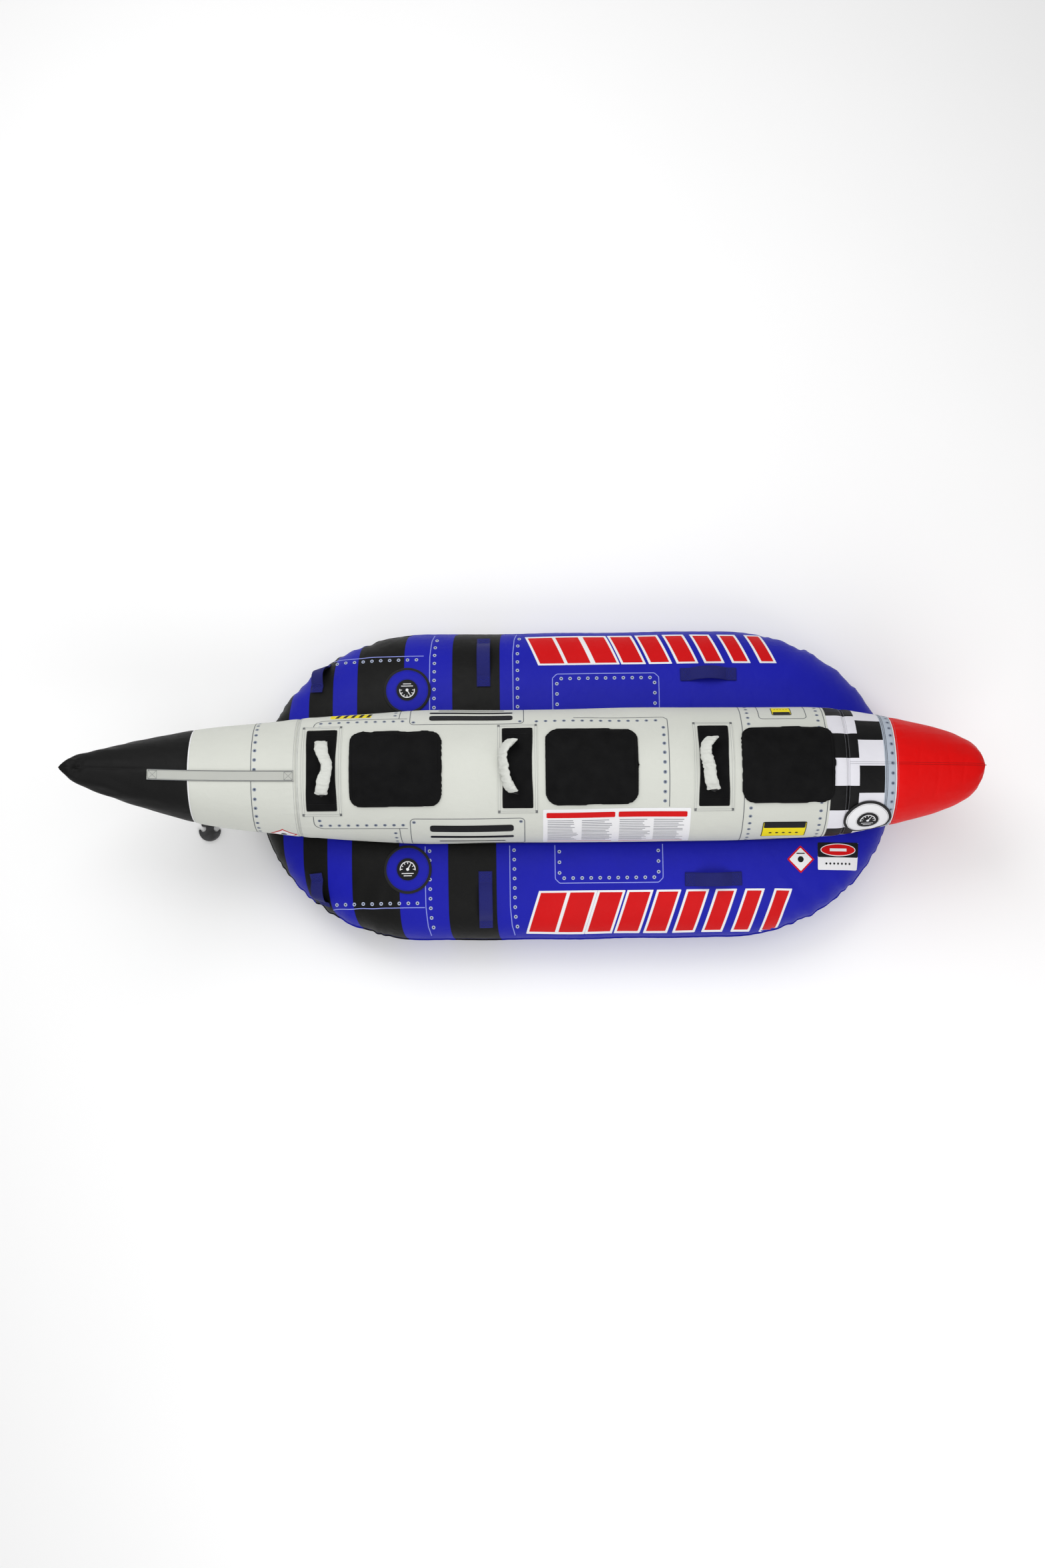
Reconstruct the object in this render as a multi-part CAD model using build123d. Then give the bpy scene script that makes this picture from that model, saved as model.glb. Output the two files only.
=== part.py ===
"""Towable water tube for three riders: an inflated fuselage nested in two inflated side pontoons.

Millimetres. +X runs from bow to stern, +Y to the riders' right, +Z up.
The origin is on the floor under the middle of the tube's bounding box.
"""
from build123d import *
import os
from functools import lru_cache
from math import acos, ceil, cos, degrees, floor, pi, radians, sin, sqrt

# ---------------------------------------------------------------- driving dimensions
# Fuselage: (x, radius, height of the centre line). The bow lifts clear of the water.
FUSELAGE_STATIONS = (
    (-1646, 8, 752),
    (-1613, 35, 728),
    (-1561, 62, 678),
    (-1445, 103, 603),
    (-1292, 146, 527),
    (-1198, 168, 488),
    (-1068, 190, 455),
    (-700, 226, 414),
    (-400, 242, 407),
    (0, 244, 405),
    (500, 244, 405),
    (990, 239, 406),
    (1150, 225, 411),
    (1304, 198, 422),
    (1400, 176, 430),
    (1497, 148, 440),
    (1584, 106, 464),
    (1628, 61, 492),
    (1646, 20, 512),
)
BOW_TIP_X = FUSELAGE_STATIONS[0][0]
STERN_TIP_X = FUSELAGE_STATIONS[-1][0]
BOW_SEAM_X = -1211
FORWARD_SEAM_X = -832
CHECKER_SEAM_X = 1131
STERN_SEAM_X = 1306
TIP_STEP = 30
MIDDLE_STEP = 80
BLADDER_STEP = 60

# Pontoons: D-shaped in plan, a straight middle with two elliptical ends.
PONTOON_BOW_X = -379
PONTOON_STERN_X = 727
PONTOON_END_LENGTH = 630
PONTOON_INNER_Y = 30
PONTOON_OUTER_Y = 580
PONTOON_HALF_HEIGHT = 180
PONTOON_AXIS_Z = 176
END_SWEEP_DEGREES = (20, 38, 52, 64, 73, 79)
END_HEIGHT_POWER = 0.7

# Skins
COVER = 1.0
BLADDER = 0.8
SKIN_GAP = 0.5
BLADDER_END_GAP = 50
NEST_GAP = 1.8

# Seats: each has a stitched patch, a knuckle guard, a padded grip and a seat pad.
SEATS = 3
SEAT_PITCH = 697
FIRST_GUARD_X = -740
PATCH_SIZE = (148, 322)
PATCH_LAYER = (0.6, 1.8)
GUARD_SIZE = (110, 286)
GUARD_LAYER = (2.1, 6.6)
GUARD_FOLD_TOP = 8.8
GUARD_FOLD = 42
PAD_OFFSET = 263
PAD_SIZE = (340, 276)
PAD_CORNER = 48
PAD_LAYER = (0.6, 14.6)

# Grips: an arch of webbing inside a padded sleeve, which flops about its sewn ends.
GRIP_HALF_SPAN = 98
GRIP_HEIGHT = 66
GRIP_ARCH_POWER = 2.6
GRIP_AXIS_LIFT = 5
GRIP_REST = (12, -42, -22)
GRIP_STEPS = 24
SLEEVE_HALF_SPAN = 92
SLEEVE_WIDTH = 48
SLEEVE_THICKNESS = 22
GRIP_WEBBING_WIDTH = 38
GRIP_WEBBING_END = 10
WEBBING_THICKNESS = 2.5

# Valves
VALVE_BASE_RADIUS = 38
VALVE_BASE_DEPTH = 24
VALVE_BASE_PROUD = 1
VALVE_RECESS_RADIUS = 24
VALVE_RECESS_DEPTH = 15
VALVE_CLEARANCE = 0.3
CAP_RADIUS = 23.6
CAP_PROUD = 3
CAP_WING = (34, 7, 2)
FLAP_RADIUS = 88
FLAP_LAYER = (6, 8)
PONTOON_VALVE_X = -450
PONTOON_VALVE_Y = 333
CENTRE_VALVE_X = 1210
CENTRE_VALVE_ANGLE = -60

# Straps and handles
HANDLE_WIDTH = 50
HANDLE_LOOP = 24
HANDLE_SEWN_SHARE = 0.12
HANDLE_STEPS = 12
BOW_HANDLE = ((-792, 61), (-762, 20))
SIDE_HANDLE = ((-166, 82), (-166, 30))
STERN_HANDLE = ((565, 74), (773, 74))
BOW_STRAP_WIDTH = 38
BOW_STRAP_ENDS = (-1349, -834)
BOW_STRAP_Y = (-18, -24)
KEEL_STRAP_ENDS = (-1330, -760)
STRAP_STEPS = 14
STRAP_CLEARANCE = 0.8
SKIN_CLEARANCE = 0.6
TIGHT_CLEARANCE = 0.2

# Towing gear under the bow
TOW_X = -1234
TOW_STRAP_WIDTH = 48
TOW_STRAP_THICKNESS = 3
TOW_AXIS_DROP = 10
TOW_AXIS_GAP = 2.2
TOW_ROUTE = ((0, 0), (-6, -45), (-24, -130), (-52, -215), (-78, -272))
HOOK_Z = 6.6
HOOK_THICKNESS = 12
HOOK_BAR_Y = -98
HOOK_BAR_RADIUS = 4
HOOK_RING_RADIUS = 4.4
HOOK_RING_WALL = 2
HOOK_WIDTH = 85
HOOK_LENGTH = 84
HOOK_NOTCH_RADIUS = 10
HOOK_NOTCH_X = 25
HOOK_NECK_WIDTH = 30
HOOK_HEAD_SIZE = (66, 36)
HOOK_HEAD_CORNER = 7
HOOK_HEAD_Y = -10
HOOK_SLOT_DEPTH = 15.4

# Zips
ZIP_WIDTH = 24
ZIP_THICKNESS = 1.2
CENTRE_ZIP_ENDS = (-230, 620)
PONTOON_ZIP_ENDS = (-330, 680)
PONTOON_ZIP_ANGLE = 215
SLIDER_LENGTH = 26
SLIDER_WIDTH = 12
SLIDER_HEIGHT = 6
SLIDER_TAB = (32, 8, 1.8)
SLIDER_TAB_X = -22
SLIDER_START = 40
ZIP_STEPS = 8
ZIP_CLEARANCE = 0.4

# Small pieces that join the big ones
WELT_WIDTH = 6
WELT_THICKNESS = 3
JOIN_STRIP_ENDS = (-620, 960)
JOIN_STRIP_Y = (130, 195)
JOIN_STRIP_LAYER = (0.4, 1.4)
WELT_FROM_Y = 150

FAR = 4000
OVERLAP = 5
parts = {}


# ---------------------------------------------------------------- shared geometry
def station_value(x, column):
    """Smooth curve through one column of the fuselage stations."""
    rows = FUSELAGE_STATIONS
    last = len(rows) - 1
    i = 0
    while i < last - 1 and x > rows[i + 1][0]:
        i += 1

    def slope(k):
        lower = rows[max(k - 1, 0)]
        upper = rows[min(k + 1, last)]
        return (upper[column] - lower[column]) / (upper[0] - lower[0])

    span = rows[i + 1][0] - rows[i][0]
    t = (x - rows[i][0]) / span
    start = rows[i][column] * (2 * t**3 - 3 * t**2 + 1) + slope(i) * span * (t**3 - 2 * t**2 + t)
    end = rows[i + 1][column] * (3 * t**2 - 2 * t**3) + slope(i + 1) * span * (t**3 - t**2)
    return start + end


def radius(x):
    return station_value(x, 1)


def axis_height(x):
    return station_value(x, 2)


def section_plane(x, y, z):
    """A cross-section plane of the tube: local X is +Y and local Y is +Z."""
    return Plane(origin=(x, y, z), x_dir=(0, 1, 0), z_dir=(1, 0, 0))


@lru_cache(maxsize=None)
def fuselage_run(low, high, offset, step=None):
    """The fuselage's outer shape from low to high along X, grown by offset."""
    near_a_tip = low < BOW_SEAM_X or high > STERN_SEAM_X
    count = ceil((high - low) / (step or (TIP_STEP if near_a_tip else MIDDLE_STEP)))
    sections = []
    for i in range(count + 1):
        x = low + (high - low) * i / count
        sections.append(section_plane(x, 0, axis_height(x)) * Circle(radius(x) + offset))
    return loft(sections)


def fuselage_beside(shape, offset):
    """The stretch of the fuselage that the shape lies on."""
    box = shape.bounding_box()
    return fuselage_run(floor(box.min.X) - 20, ceil(box.max.X) + 20, offset)


def fuselage_point(x, angle, offset=0.0):
    """A point above the fuselage skin; angle is from the crown towards +Y, in degrees."""
    reach = radius(x) + offset
    turn = radians(angle)
    return Vector(x, reach * sin(turn), axis_height(x) + reach * cos(turn))


def pontoon_section(x):
    """Middle, half-width and half-height of the pontoon's elliptical section at x, on the +Y side."""
    past = max(PONTOON_BOW_X - x, x - PONTOON_STERN_X, 0) / PONTOON_END_LENGTH
    shrink = sqrt(max(1 - past**2, 0))
    outer = PONTOON_INNER_Y + (PONTOON_OUTER_Y - PONTOON_INNER_Y) * shrink
    half_height = PONTOON_HALF_HEIGHT * shrink**END_HEIGHT_POWER
    return (outer + PONTOON_INNER_Y) / 2, (outer - PONTOON_INNER_Y) / 2, half_height


@lru_cache(maxsize=None)
def pontoon_solid(offset):
    """The right pontoon's full pillow shape, grown by offset all round."""
    reaches = [PONTOON_END_LENGTH * sin(radians(a)) for a in END_SWEEP_DEGREES]
    bow = [PONTOON_BOW_X - reach for reach in reversed(reaches)]
    stern = [PONTOON_STERN_X + reach for reach in reaches]
    straight = PONTOON_STERN_X - PONTOON_BOW_X
    middle = [PONTOON_BOW_X + straight * i / 4 for i in range(5)]
    sections = []
    for x in bow + middle + stern:
        y, half_width, half_height = pontoon_section(x)
        shift = offset * (x == stern[-1]) - offset * (x == bow[0])
        ellipse = Ellipse(half_width + offset, half_height + offset)
        sections.append(section_plane(x + shift, y, PONTOON_AXIS_Z) * ellipse)
    return loft(sections)


def pontoon_point(x, angle, offset=0.0):
    """A point above the right pontoon's skin; angle is from +Y towards +Z, in degrees."""
    y, half_width, half_height = pontoon_section(x)
    turn = radians(angle)
    normal = pontoon_normal(x, angle)
    on_skin = Vector(x, y + half_width * cos(turn), PONTOON_AXIS_Z + half_height * sin(turn))
    return on_skin + normal * offset


def pontoon_normal(x, angle):
    half_width, half_height = pontoon_section(x)[1:]
    turn = radians(angle)
    return Vector(0, cos(turn) / half_width, sin(turn) / half_height).normalized()


def above(z):
    return Pos(0, 0, z + FAR / 2) * Box(FAR, FAR, FAR)


def upper_block(x, y, size, corner=0.0):
    """An upright block through the crown of the fuselage, for cutting patches out of thin layers."""
    outline = RectangleRounded(size[0], size[1], corner) if corner else Rectangle(size[0], size[1])
    floor = axis_height(x) + 60
    return Pos(x, y, floor) * extrude(outline, 400)


def fuselage_layer(layer, window):
    """What the window cuts out of a skin that lies between two distances from the fuselage."""
    return (fuselage_beside(window, layer[1]) & window) - fuselage_beside(window, layer[0])


def band(route, across, widths, thickness):
    """A flat strap through the points of route, with its width along the vectors in across."""
    sections = []
    last = len(route) - 1
    for i, point in enumerate(route):
        ahead = route[min(i + 1, last)] - route[max(i - 1, 0)]
        plane = Plane(origin=point, x_dir=across[i], z_dir=ahead)
        sections.append(plane * Rectangle(widths[i], thickness))
    return loft(sections, ruled=True)


def straight_band(route, across, width, thickness):
    return band(route, [across] * len(route), [width] * len(route), thickness)


def to_left(shape):
    return mirror(shape, about=Plane.XZ)


def on_both_sides(name, shape):
    parts["right_" + name] = shape
    parts["left_" + name] = to_left(shape)


# ---------------------------------------------------------------- valves
def valve_plane(point, normal, along):
    return Plane(origin=point, x_dir=along, z_dir=normal)


def valve_hole(plane):
    return plane * Cylinder(VALVE_BASE_RADIUS + VALVE_CLEARANCE, FLAP_RADIUS)


def valve_base(plane):
    """A flanged cup welded to the bladder, with a recess for the screw cap and an air passage."""
    height = VALVE_BASE_DEPTH + VALVE_BASE_PROUD
    cup = Pos(0, 0, VALVE_BASE_PROUD - height / 2) * Cylinder(VALVE_BASE_RADIUS, height)
    recess = Pos(0, 0, VALVE_BASE_PROUD - VALVE_RECESS_DEPTH / 2) * Cylinder(
        VALVE_RECESS_RADIUS, VALVE_RECESS_DEPTH
    )
    passage = Cylinder(VALVE_RECESS_RADIUS / 2, 4 * VALVE_BASE_DEPTH)
    return plane * (cup - recess - passage)


def valve_cap(plane):
    """The screw cap that closes the valve, with a wing to turn it by."""
    bottom = VALVE_BASE_PROUD - VALVE_RECESS_DEPTH + VALVE_CLEARANCE
    body_top = CAP_PROUD - CAP_WING[2]
    body = Pos(0, 0, (bottom + body_top) / 2) * Cylinder(CAP_RADIUS, body_top - bottom)
    wing_height = CAP_WING[2] + 0.2
    wing = Pos(0, 0, CAP_PROUD - wing_height / 2) * Box(CAP_WING[0], CAP_WING[1], wing_height)
    return plane * (body + wing)


def flap_window(plane):
    return plane * Cylinder(FLAP_RADIUS, FLAP_RADIUS)


# ---------------------------------------------------------------- fuselage
def centre_bladder():
    """One closed air chamber inside the covers."""
    depth = COVER + SKIN_GAP
    low = BOW_TIP_X + BLADDER_END_GAP
    high = STERN_TIP_X - BLADDER_END_GAP
    outside = fuselage_run(low, high, -depth, BLADDER_STEP)
    return outside - fuselage_run(low + BLADDER, high - BLADDER, -depth - BLADDER, BLADDER_STEP)


def make_fuselage():
    point = fuselage_point(CENTRE_VALVE_X, CENTRE_VALVE_ANGLE)
    slope = (radius(CENTRE_VALVE_X + 40) - radius(CENTRE_VALVE_X - 40)) / 80
    turn = radians(CENTRE_VALVE_ANGLE)
    normal = Vector(-slope, sin(turn), cos(turn)).normalized()
    plane = valve_plane(point, normal, (0, cos(turn), -sin(turn)))
    seams = (
        ("bow_cone_cover", BOW_TIP_X, BOW_SEAM_X),
        ("forward_cover", BOW_SEAM_X, FORWARD_SEAM_X),
        ("body_cover", FORWARD_SEAM_X, CHECKER_SEAM_X),
        ("checker_cover", CHECKER_SEAM_X, STERN_SEAM_X),
        ("stern_cone_cover", STERN_SEAM_X, STERN_TIP_X),
    )
    for name, low, high in seams:
        hollow_low = low - OVERLAP if low > BOW_TIP_X else low + COVER
        hollow_high = high + OVERLAP if high < STERN_TIP_X else high - COVER
        shell = fuselage_run(low, high, 0) - fuselage_run(hollow_low, hollow_high, -COVER)
        parts[name] = shell - valve_hole(plane)
    parts["centre_bladder"] = centre_bladder() - valve_hole(plane)
    parts["centre_valve_base"] = valve_base(plane)
    parts["centre_valve_cap"] = valve_cap(plane)
    parts["centre_valve_flap"] = fuselage_layer(FLAP_LAYER, flap_window(plane))


# ---------------------------------------------------------------- pontoons
def nested_pontoon(depth):
    """The right pontoon pressed against the fuselage and the floor, shrunk by a depth all round."""
    pillow = pontoon_solid(-depth)
    return (pillow - fuselage_beside(pillow, NEST_GAP + depth)) & above(depth)


def make_pontoons():
    outer = nested_pontoon(0)
    inner = nested_pontoon(COVER)
    bladder_outer = nested_pontoon(COVER + SKIN_GAP)
    bladder_inner = nested_pontoon(COVER + SKIN_GAP + BLADDER)
    y, half_width = pontoon_section(PONTOON_VALVE_X)[:2]
    angle = degrees(acos((PONTOON_VALVE_Y - y) / half_width))
    normal = pontoon_normal(PONTOON_VALVE_X, angle)
    plane = valve_plane(pontoon_point(PONTOON_VALVE_X, angle), normal, (1, 0, 0))
    on_both_sides("pontoon_cover", outer - inner - valve_hole(plane))
    on_both_sides("bladder", bladder_outer - bladder_inner - valve_hole(plane))
    on_both_sides("valve_base", valve_base(plane))
    on_both_sides("valve_cap", valve_cap(plane))
    flap = (pontoon_solid(FLAP_LAYER[1]) & flap_window(plane)) - pontoon_solid(FLAP_LAYER[0])
    on_both_sides("valve_flap", flap)


def pontoon_outline(grow):
    """Half of the pontoon's plan shape, from the inner edge outwards, grown by a margin."""
    reach_x = PONTOON_END_LENGTH + grow
    reach_y = PONTOON_OUTER_Y - PONTOON_INNER_Y + grow
    bow = EllipticalCenterArc((PONTOON_BOW_X, PONTOON_INNER_Y), reach_x, reach_y, 90, arc_size=90)
    stern = EllipticalCenterArc((PONTOON_STERN_X, PONTOON_INNER_Y), reach_x, reach_y, 0, arc_size=90)
    side = Line(bow @ 0, stern @ 1)
    base = Line(bow @ 1, stern @ 0)
    return make_face([bow, side, stern, base])


def make_seam_welts():
    """The folded seam allowance that stands out along the pontoon's widest line."""
    ring = pontoon_outline(WELT_WIDTH) - pontoon_outline(-WELT_WIDTH)
    lowest = PONTOON_AXIS_Z - WELT_THICKNESS / 2
    welt = Pos(0, 0, lowest) * extrude(ring, WELT_THICKNESS)
    outside = Pos(0, FAR / 2 + WELT_FROM_Y, 0) * Box(FAR, FAR, FAR)
    on_both_sides("seam_welt", (welt & outside) - pontoon_solid(TIGHT_CLEARANCE))


def make_join_strips():
    """Fabric sewn between the fuselage and the pontoon, in the groove where they nest."""
    low_y, high_y = JOIN_STRIP_Y
    length = JOIN_STRIP_ENDS[1] - JOIN_STRIP_ENDS[0]
    window = Pos(sum(JOIN_STRIP_ENDS) / 2, (low_y + high_y) / 2, 0) * Box(length, high_y - low_y, 700)
    on_both_sides("join_strip", fuselage_layer(JOIN_STRIP_LAYER, window))


# ---------------------------------------------------------------- boarding handles
def loop_lift(t):
    """How far a slack handle stands off along its length, 0 at both sewn ends."""
    free = (t - HANDLE_SEWN_SHARE) / (1 - 2 * HANDLE_SEWN_SHARE)
    return HANDLE_LOOP * sin(pi * min(max(free, 0), 1)) ** 0.8


def handle_between(start, end):
    """A webbing handle between two (x, section angle) places on the right pontoon."""
    route = []
    across = []
    for i in range(HANDLE_STEPS + 1):
        t = i / HANDLE_STEPS
        x = start[0] + (end[0] - start[0]) * t
        angle = start[1] + (end[1] - start[1]) * t
        lift = STRAP_CLEARANCE + WEBBING_THICKNESS / 2 + loop_lift(t)
        route.append(pontoon_point(x, angle, lift))
    for i in range(HANDLE_STEPS + 1):
        t = i / HANDLE_STEPS
        x = start[0] + (end[0] - start[0]) * t
        angle = start[1] + (end[1] - start[1]) * t
        ahead = route[min(i + 1, HANDLE_STEPS)] - route[max(i - 1, 0)]
        across.append(ahead.cross(pontoon_normal(x, angle)).normalized())
    strap = band(route, across, [HANDLE_WIDTH] * len(route), WEBBING_THICKNESS)
    return strap - pontoon_solid(TIGHT_CLEARANCE)


def make_handles():
    on_both_sides("handle_bow", handle_between(*BOW_HANDLE))
    on_both_sides("handle_side", handle_between(*SIDE_HANDLE))
    on_both_sides("handle_stern", handle_between(*STERN_HANDLE))


# ---------------------------------------------------------------- seats
def grip_axis_height(x):
    guard_top = radius(x) + GUARD_LAYER[1]
    return axis_height(x) + sqrt(guard_top**2 - GRIP_HALF_SPAN**2) + GRIP_AXIS_LIFT


def arch_points(x, count):
    """Points of the grip's arch from the left sewn end to the right one."""
    power = 2 / GRIP_ARCH_POWER
    base = grip_axis_height(x)
    points = []
    for i in range(count + 1):
        turn = pi * i / count
        side = -1 if turn < pi / 2 else 1
        y = side * GRIP_HALF_SPAN * abs(cos(turn)) ** power
        z = base + GRIP_HEIGHT * abs(sin(turn)) ** power
        points.append(Vector(x, y, z))
    return points


def grip_webbing(x):
    route = arch_points(x, GRIP_STEPS)
    widths = []
    for point in route:
        near_end = min((GRIP_HALF_SPAN - abs(point.Y)) / 6, 1)
        widths.append(GRIP_WEBBING_END + (GRIP_WEBBING_WIDTH - GRIP_WEBBING_END) * near_end)
    return band(route, [Vector(1, 0, 0)] * len(route), widths, WEBBING_THICKNESS)


def grip_sleeve(x):
    route = arch_points(x, GRIP_STEPS)
    inner = [i for i, point in enumerate(route) if abs(point.Y) <= SLEEVE_HALF_SPAN]
    sections = []
    for i in inner:
        ahead = route[i + 1] - route[i - 1]
        plane = Plane(origin=route[i], x_dir=(1, 0, 0), z_dir=ahead)
        sections.append(plane * Ellipse(SLEEVE_WIDTH / 2, SLEEVE_THICKNESS / 2))
    channel = band(route, [Vector(1, 0, 0)] * len(route), [GRIP_WEBBING_WIDTH + 0.8] * len(route), 3.4)
    return loft(sections, ruled=True) - channel


def knuckle_guard(x):
    """A thin pad whose two ends are folded over, making a thicker band at each."""
    guard = fuselage_layer(GUARD_LAYER, upper_block(x, 0, GUARD_SIZE, 8))
    fold_layer = (GUARD_LAYER[1] - 0.3, GUARD_FOLD_TOP)
    fold_y = (GUARD_SIZE[1] - GUARD_FOLD) / 2
    for side in (-1, 1):
        block = upper_block(x, side * fold_y, (GUARD_SIZE[0], GUARD_FOLD), 6)
        guard += fuselage_layer(fold_layer, block)
    return guard


def make_seats():
    for i in range(SEATS):
        number = str(i + 1)
        x = FIRST_GUARD_X + SEAT_PITCH * i
        hinge = Axis((x, 0, grip_axis_height(x)), (0, 1, 0))
        parts["handle_patch_" + number] = fuselage_layer(PATCH_LAYER, upper_block(x, 0, PATCH_SIZE, 6))
        parts["knuckle_guard_" + number] = knuckle_guard(x)
        parts["grip_webbing_" + number] = grip_webbing(x).rotate(hinge, GRIP_REST[i])
        parts["grip_sleeve_" + number] = grip_sleeve(x).rotate(hinge, GRIP_REST[i])
        pad_window = upper_block(x + PAD_OFFSET, 0, PAD_SIZE, PAD_CORNER)
        parts["seat_pad_" + number] = fuselage_layer(PAD_LAYER, pad_window)


# ---------------------------------------------------------------- bow and keel webbing
def lengthwise_strap(ends, side_ys, width, crown):
    """Webbing along the crown (1) or the keel (-1) of the fuselage, following its curve."""
    route = []
    lift = STRAP_CLEARANCE + WEBBING_THICKNESS / 2
    for i in range(STRAP_STEPS + 1):
        x = ends[0] + (ends[1] - ends[0]) * i / STRAP_STEPS
        y = side_ys[0] + (side_ys[1] - side_ys[0]) * i / STRAP_STEPS
        reach = radius(x) + lift + 0.5
        route.append(Vector(x, y, axis_height(x) + crown * sqrt(reach**2 - y**2)))
    lean = (side_ys[0] + side_ys[1]) / 2 / radius(sum(ends) / 2)
    return straight_band(route, Vector(0, 1, -crown * lean), width, WEBBING_THICKNESS)


def make_straps():
    bow_strap = lengthwise_strap(BOW_STRAP_ENDS, BOW_STRAP_Y, BOW_STRAP_WIDTH, 1)
    keel_strap = lengthwise_strap(KEEL_STRAP_ENDS, (0, 0), BOW_STRAP_WIDTH, -1)
    parts["bow_strap"] = bow_strap - fuselage_beside(bow_strap, SKIN_CLEARANCE)
    parts["keel_strap"] = keel_strap - fuselage_beside(keel_strap, SKIN_CLEARANCE)


# ---------------------------------------------------------------- towing gear
def keel_height(x):
    return axis_height(x) - radius(x)


def tow_axis_z():
    return keel_height(TOW_X + TOW_STRAP_WIDTH / 2) - TOW_AXIS_DROP


def tow_gusset():
    """A folded web sewn to the keel strap; its level lower edge carries the tow strap."""
    bottom = tow_axis_z() + TOW_AXIS_GAP
    top = keel_height(TOW_X - TOW_STRAP_WIDTH / 2) + 10
    block = Pos(TOW_X, 0, (bottom + top) / 2) * Box(TOW_STRAP_WIDTH, TOW_STRAP_THICKNESS, top - bottom)
    strap_depth = STRAP_CLEARANCE + WEBBING_THICKNESS + 1.2
    return block - fuselage_beside(block, strap_depth)


def tow_strap():
    """Doubled webbing that hangs from the gusset, with a sewn ring round the hook's bar."""
    start = Vector(TOW_X, 0, tow_axis_z())
    ring_centre = Vector(TOW_X, HOOK_BAR_Y, HOOK_Z)
    route = [start + Vector(0, y, z) for y, z in TOW_ROUTE]
    route.append(ring_centre + Vector(0, 2.8, 4.4))
    strap = straight_band(route, Vector(1, 0, 0), TOW_STRAP_WIDTH, TOW_STRAP_THICKNESS)
    place = Plane(origin=ring_centre, x_dir=(0, 1, 0), z_dir=(1, 0, 0))
    ring = place * Cylinder(HOOK_RING_RADIUS + HOOK_RING_WALL, TOW_STRAP_WIDTH)
    hole = place * Cylinder(HOOK_RING_RADIUS, 2 * TOW_STRAP_WIDTH)
    return strap + ring - hole


def tow_hook():
    """A flat moulded anchor: a bar for the strap, a neck for the tow rope's loop and two lobes."""
    half = HOOK_WIDTH / 2
    tip_y = HOOK_BAR_Y - HOOK_LENGTH
    disc = Pos(0, tip_y + half) * Circle(half)
    lobes = disc & (Pos(0, tip_y + half / 2 + 2) * Rectangle(HOOK_WIDTH, half + 4))
    for side in (-1, 1):
        lobes -= Pos(side * HOOK_NOTCH_X, tip_y + half + OVERLAP) * Circle(HOOK_NOTCH_RADIUS)
    neck_top = HOOK_BAR_Y - 22
    neck_length = neck_top - tip_y - half + OVERLAP + 1
    neck = Pos(0, (neck_top + tip_y + half) / 2) * Rectangle(HOOK_NECK_WIDTH, neck_length)
    head = Pos(0, HOOK_BAR_Y + HOOK_HEAD_Y) * RectangleRounded(*HOOK_HEAD_SIZE, HOOK_HEAD_CORNER)
    slot = Pos(0, HOOK_BAR_Y - 1) * Rectangle(TOW_STRAP_WIDTH + 2, HOOK_SLOT_DEPTH)
    body = extrude(lobes + neck + head - slot, HOOK_THICKNESS)
    body = Pos(0, 0, HOOK_Z - HOOK_THICKNESS / 2) * body
    place = Plane(origin=(0, HOOK_BAR_Y, HOOK_Z), x_dir=(0, 1, 0), z_dir=(1, 0, 0))
    bar = place * Cylinder(HOOK_BAR_RADIUS, TOW_STRAP_WIDTH + 8)
    return Pos(TOW_X, 0, 0) * (body + bar)


def make_towing_gear():
    parts["tow_gusset"] = tow_gusset()
    parts["tow_strap"] = tow_strap()
    parts["tow_hook"] = tow_hook()


# ---------------------------------------------------------------- zips
def zip_slider(plane):
    """A slider with its pull tab; the plane's Z points away from the tape and X runs along it."""
    rise = ZIP_THICKNESS + STRAP_CLEARANCE + ZIP_CLEARANCE
    body = Pos(0, 0, rise + SLIDER_HEIGHT / 2) * Box(SLIDER_LENGTH, SLIDER_WIDTH, SLIDER_HEIGHT)
    tab = Pos(SLIDER_TAB_X, 0, rise + SLIDER_HEIGHT - 1) * Box(*SLIDER_TAB)
    return plane * (body + tab)


def make_zips():
    lift = STRAP_CLEARANCE + ZIP_THICKNESS / 2
    low, high = CENTRE_ZIP_ENDS
    xs = [low + (high - low) * i / ZIP_STEPS for i in range(ZIP_STEPS + 1)]
    route = [Vector(x, 0, keel_height(x) - lift) for x in xs]
    tape = straight_band(route, Vector(0, 1, 0), ZIP_WIDTH, ZIP_THICKNESS)
    parts["centre_zip"] = tape - fuselage_beside(tape, ZIP_CLEARANCE)
    lowest = min(keel_height(x) for x in xs)
    start = (low + SLIDER_START, 0, lowest - 0.3)
    under = Plane(origin=start, x_dir=(1, 0, 0), z_dir=(0, 0, -1))
    parts["centre_zip_slider"] = zip_slider(under)

    normal = pontoon_normal(0, PONTOON_ZIP_ANGLE)
    along = Vector(1, 0, 0)
    across = along.cross(normal)
    route = [pontoon_point(x, PONTOON_ZIP_ANGLE, lift + ZIP_CLEARANCE) for x in PONTOON_ZIP_ENDS]
    on_both_sides("zip", straight_band(route, across, ZIP_WIDTH, ZIP_THICKNESS))
    start = pontoon_point(PONTOON_ZIP_ENDS[0] + SLIDER_START, PONTOON_ZIP_ANGLE, ZIP_CLEARANCE)
    on_both_sides("zip_slider", zip_slider(Plane(origin=start, x_dir=along, z_dir=normal)))


# ---------------------------------------------------------------- build
make_fuselage()
make_pontoons()
make_seam_welts()
make_join_strips()
make_handles()
make_seats()
make_straps()
make_towing_gear()
make_zips()

os.makedirs("parts", exist_ok=True)
for name, shape in parts.items():
    shape.label = name
    export_step(shape, "parts/" + name + ".step")
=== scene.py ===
"""Looks of a three-rider towable tube: printed covers, pads, grips, webbing, valves and towing gear.

Metres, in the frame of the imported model: +X from bow to stern, +Y to the riders' right, +Z up.
"""
from math import cos, pi, radians, sin, sqrt

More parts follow.
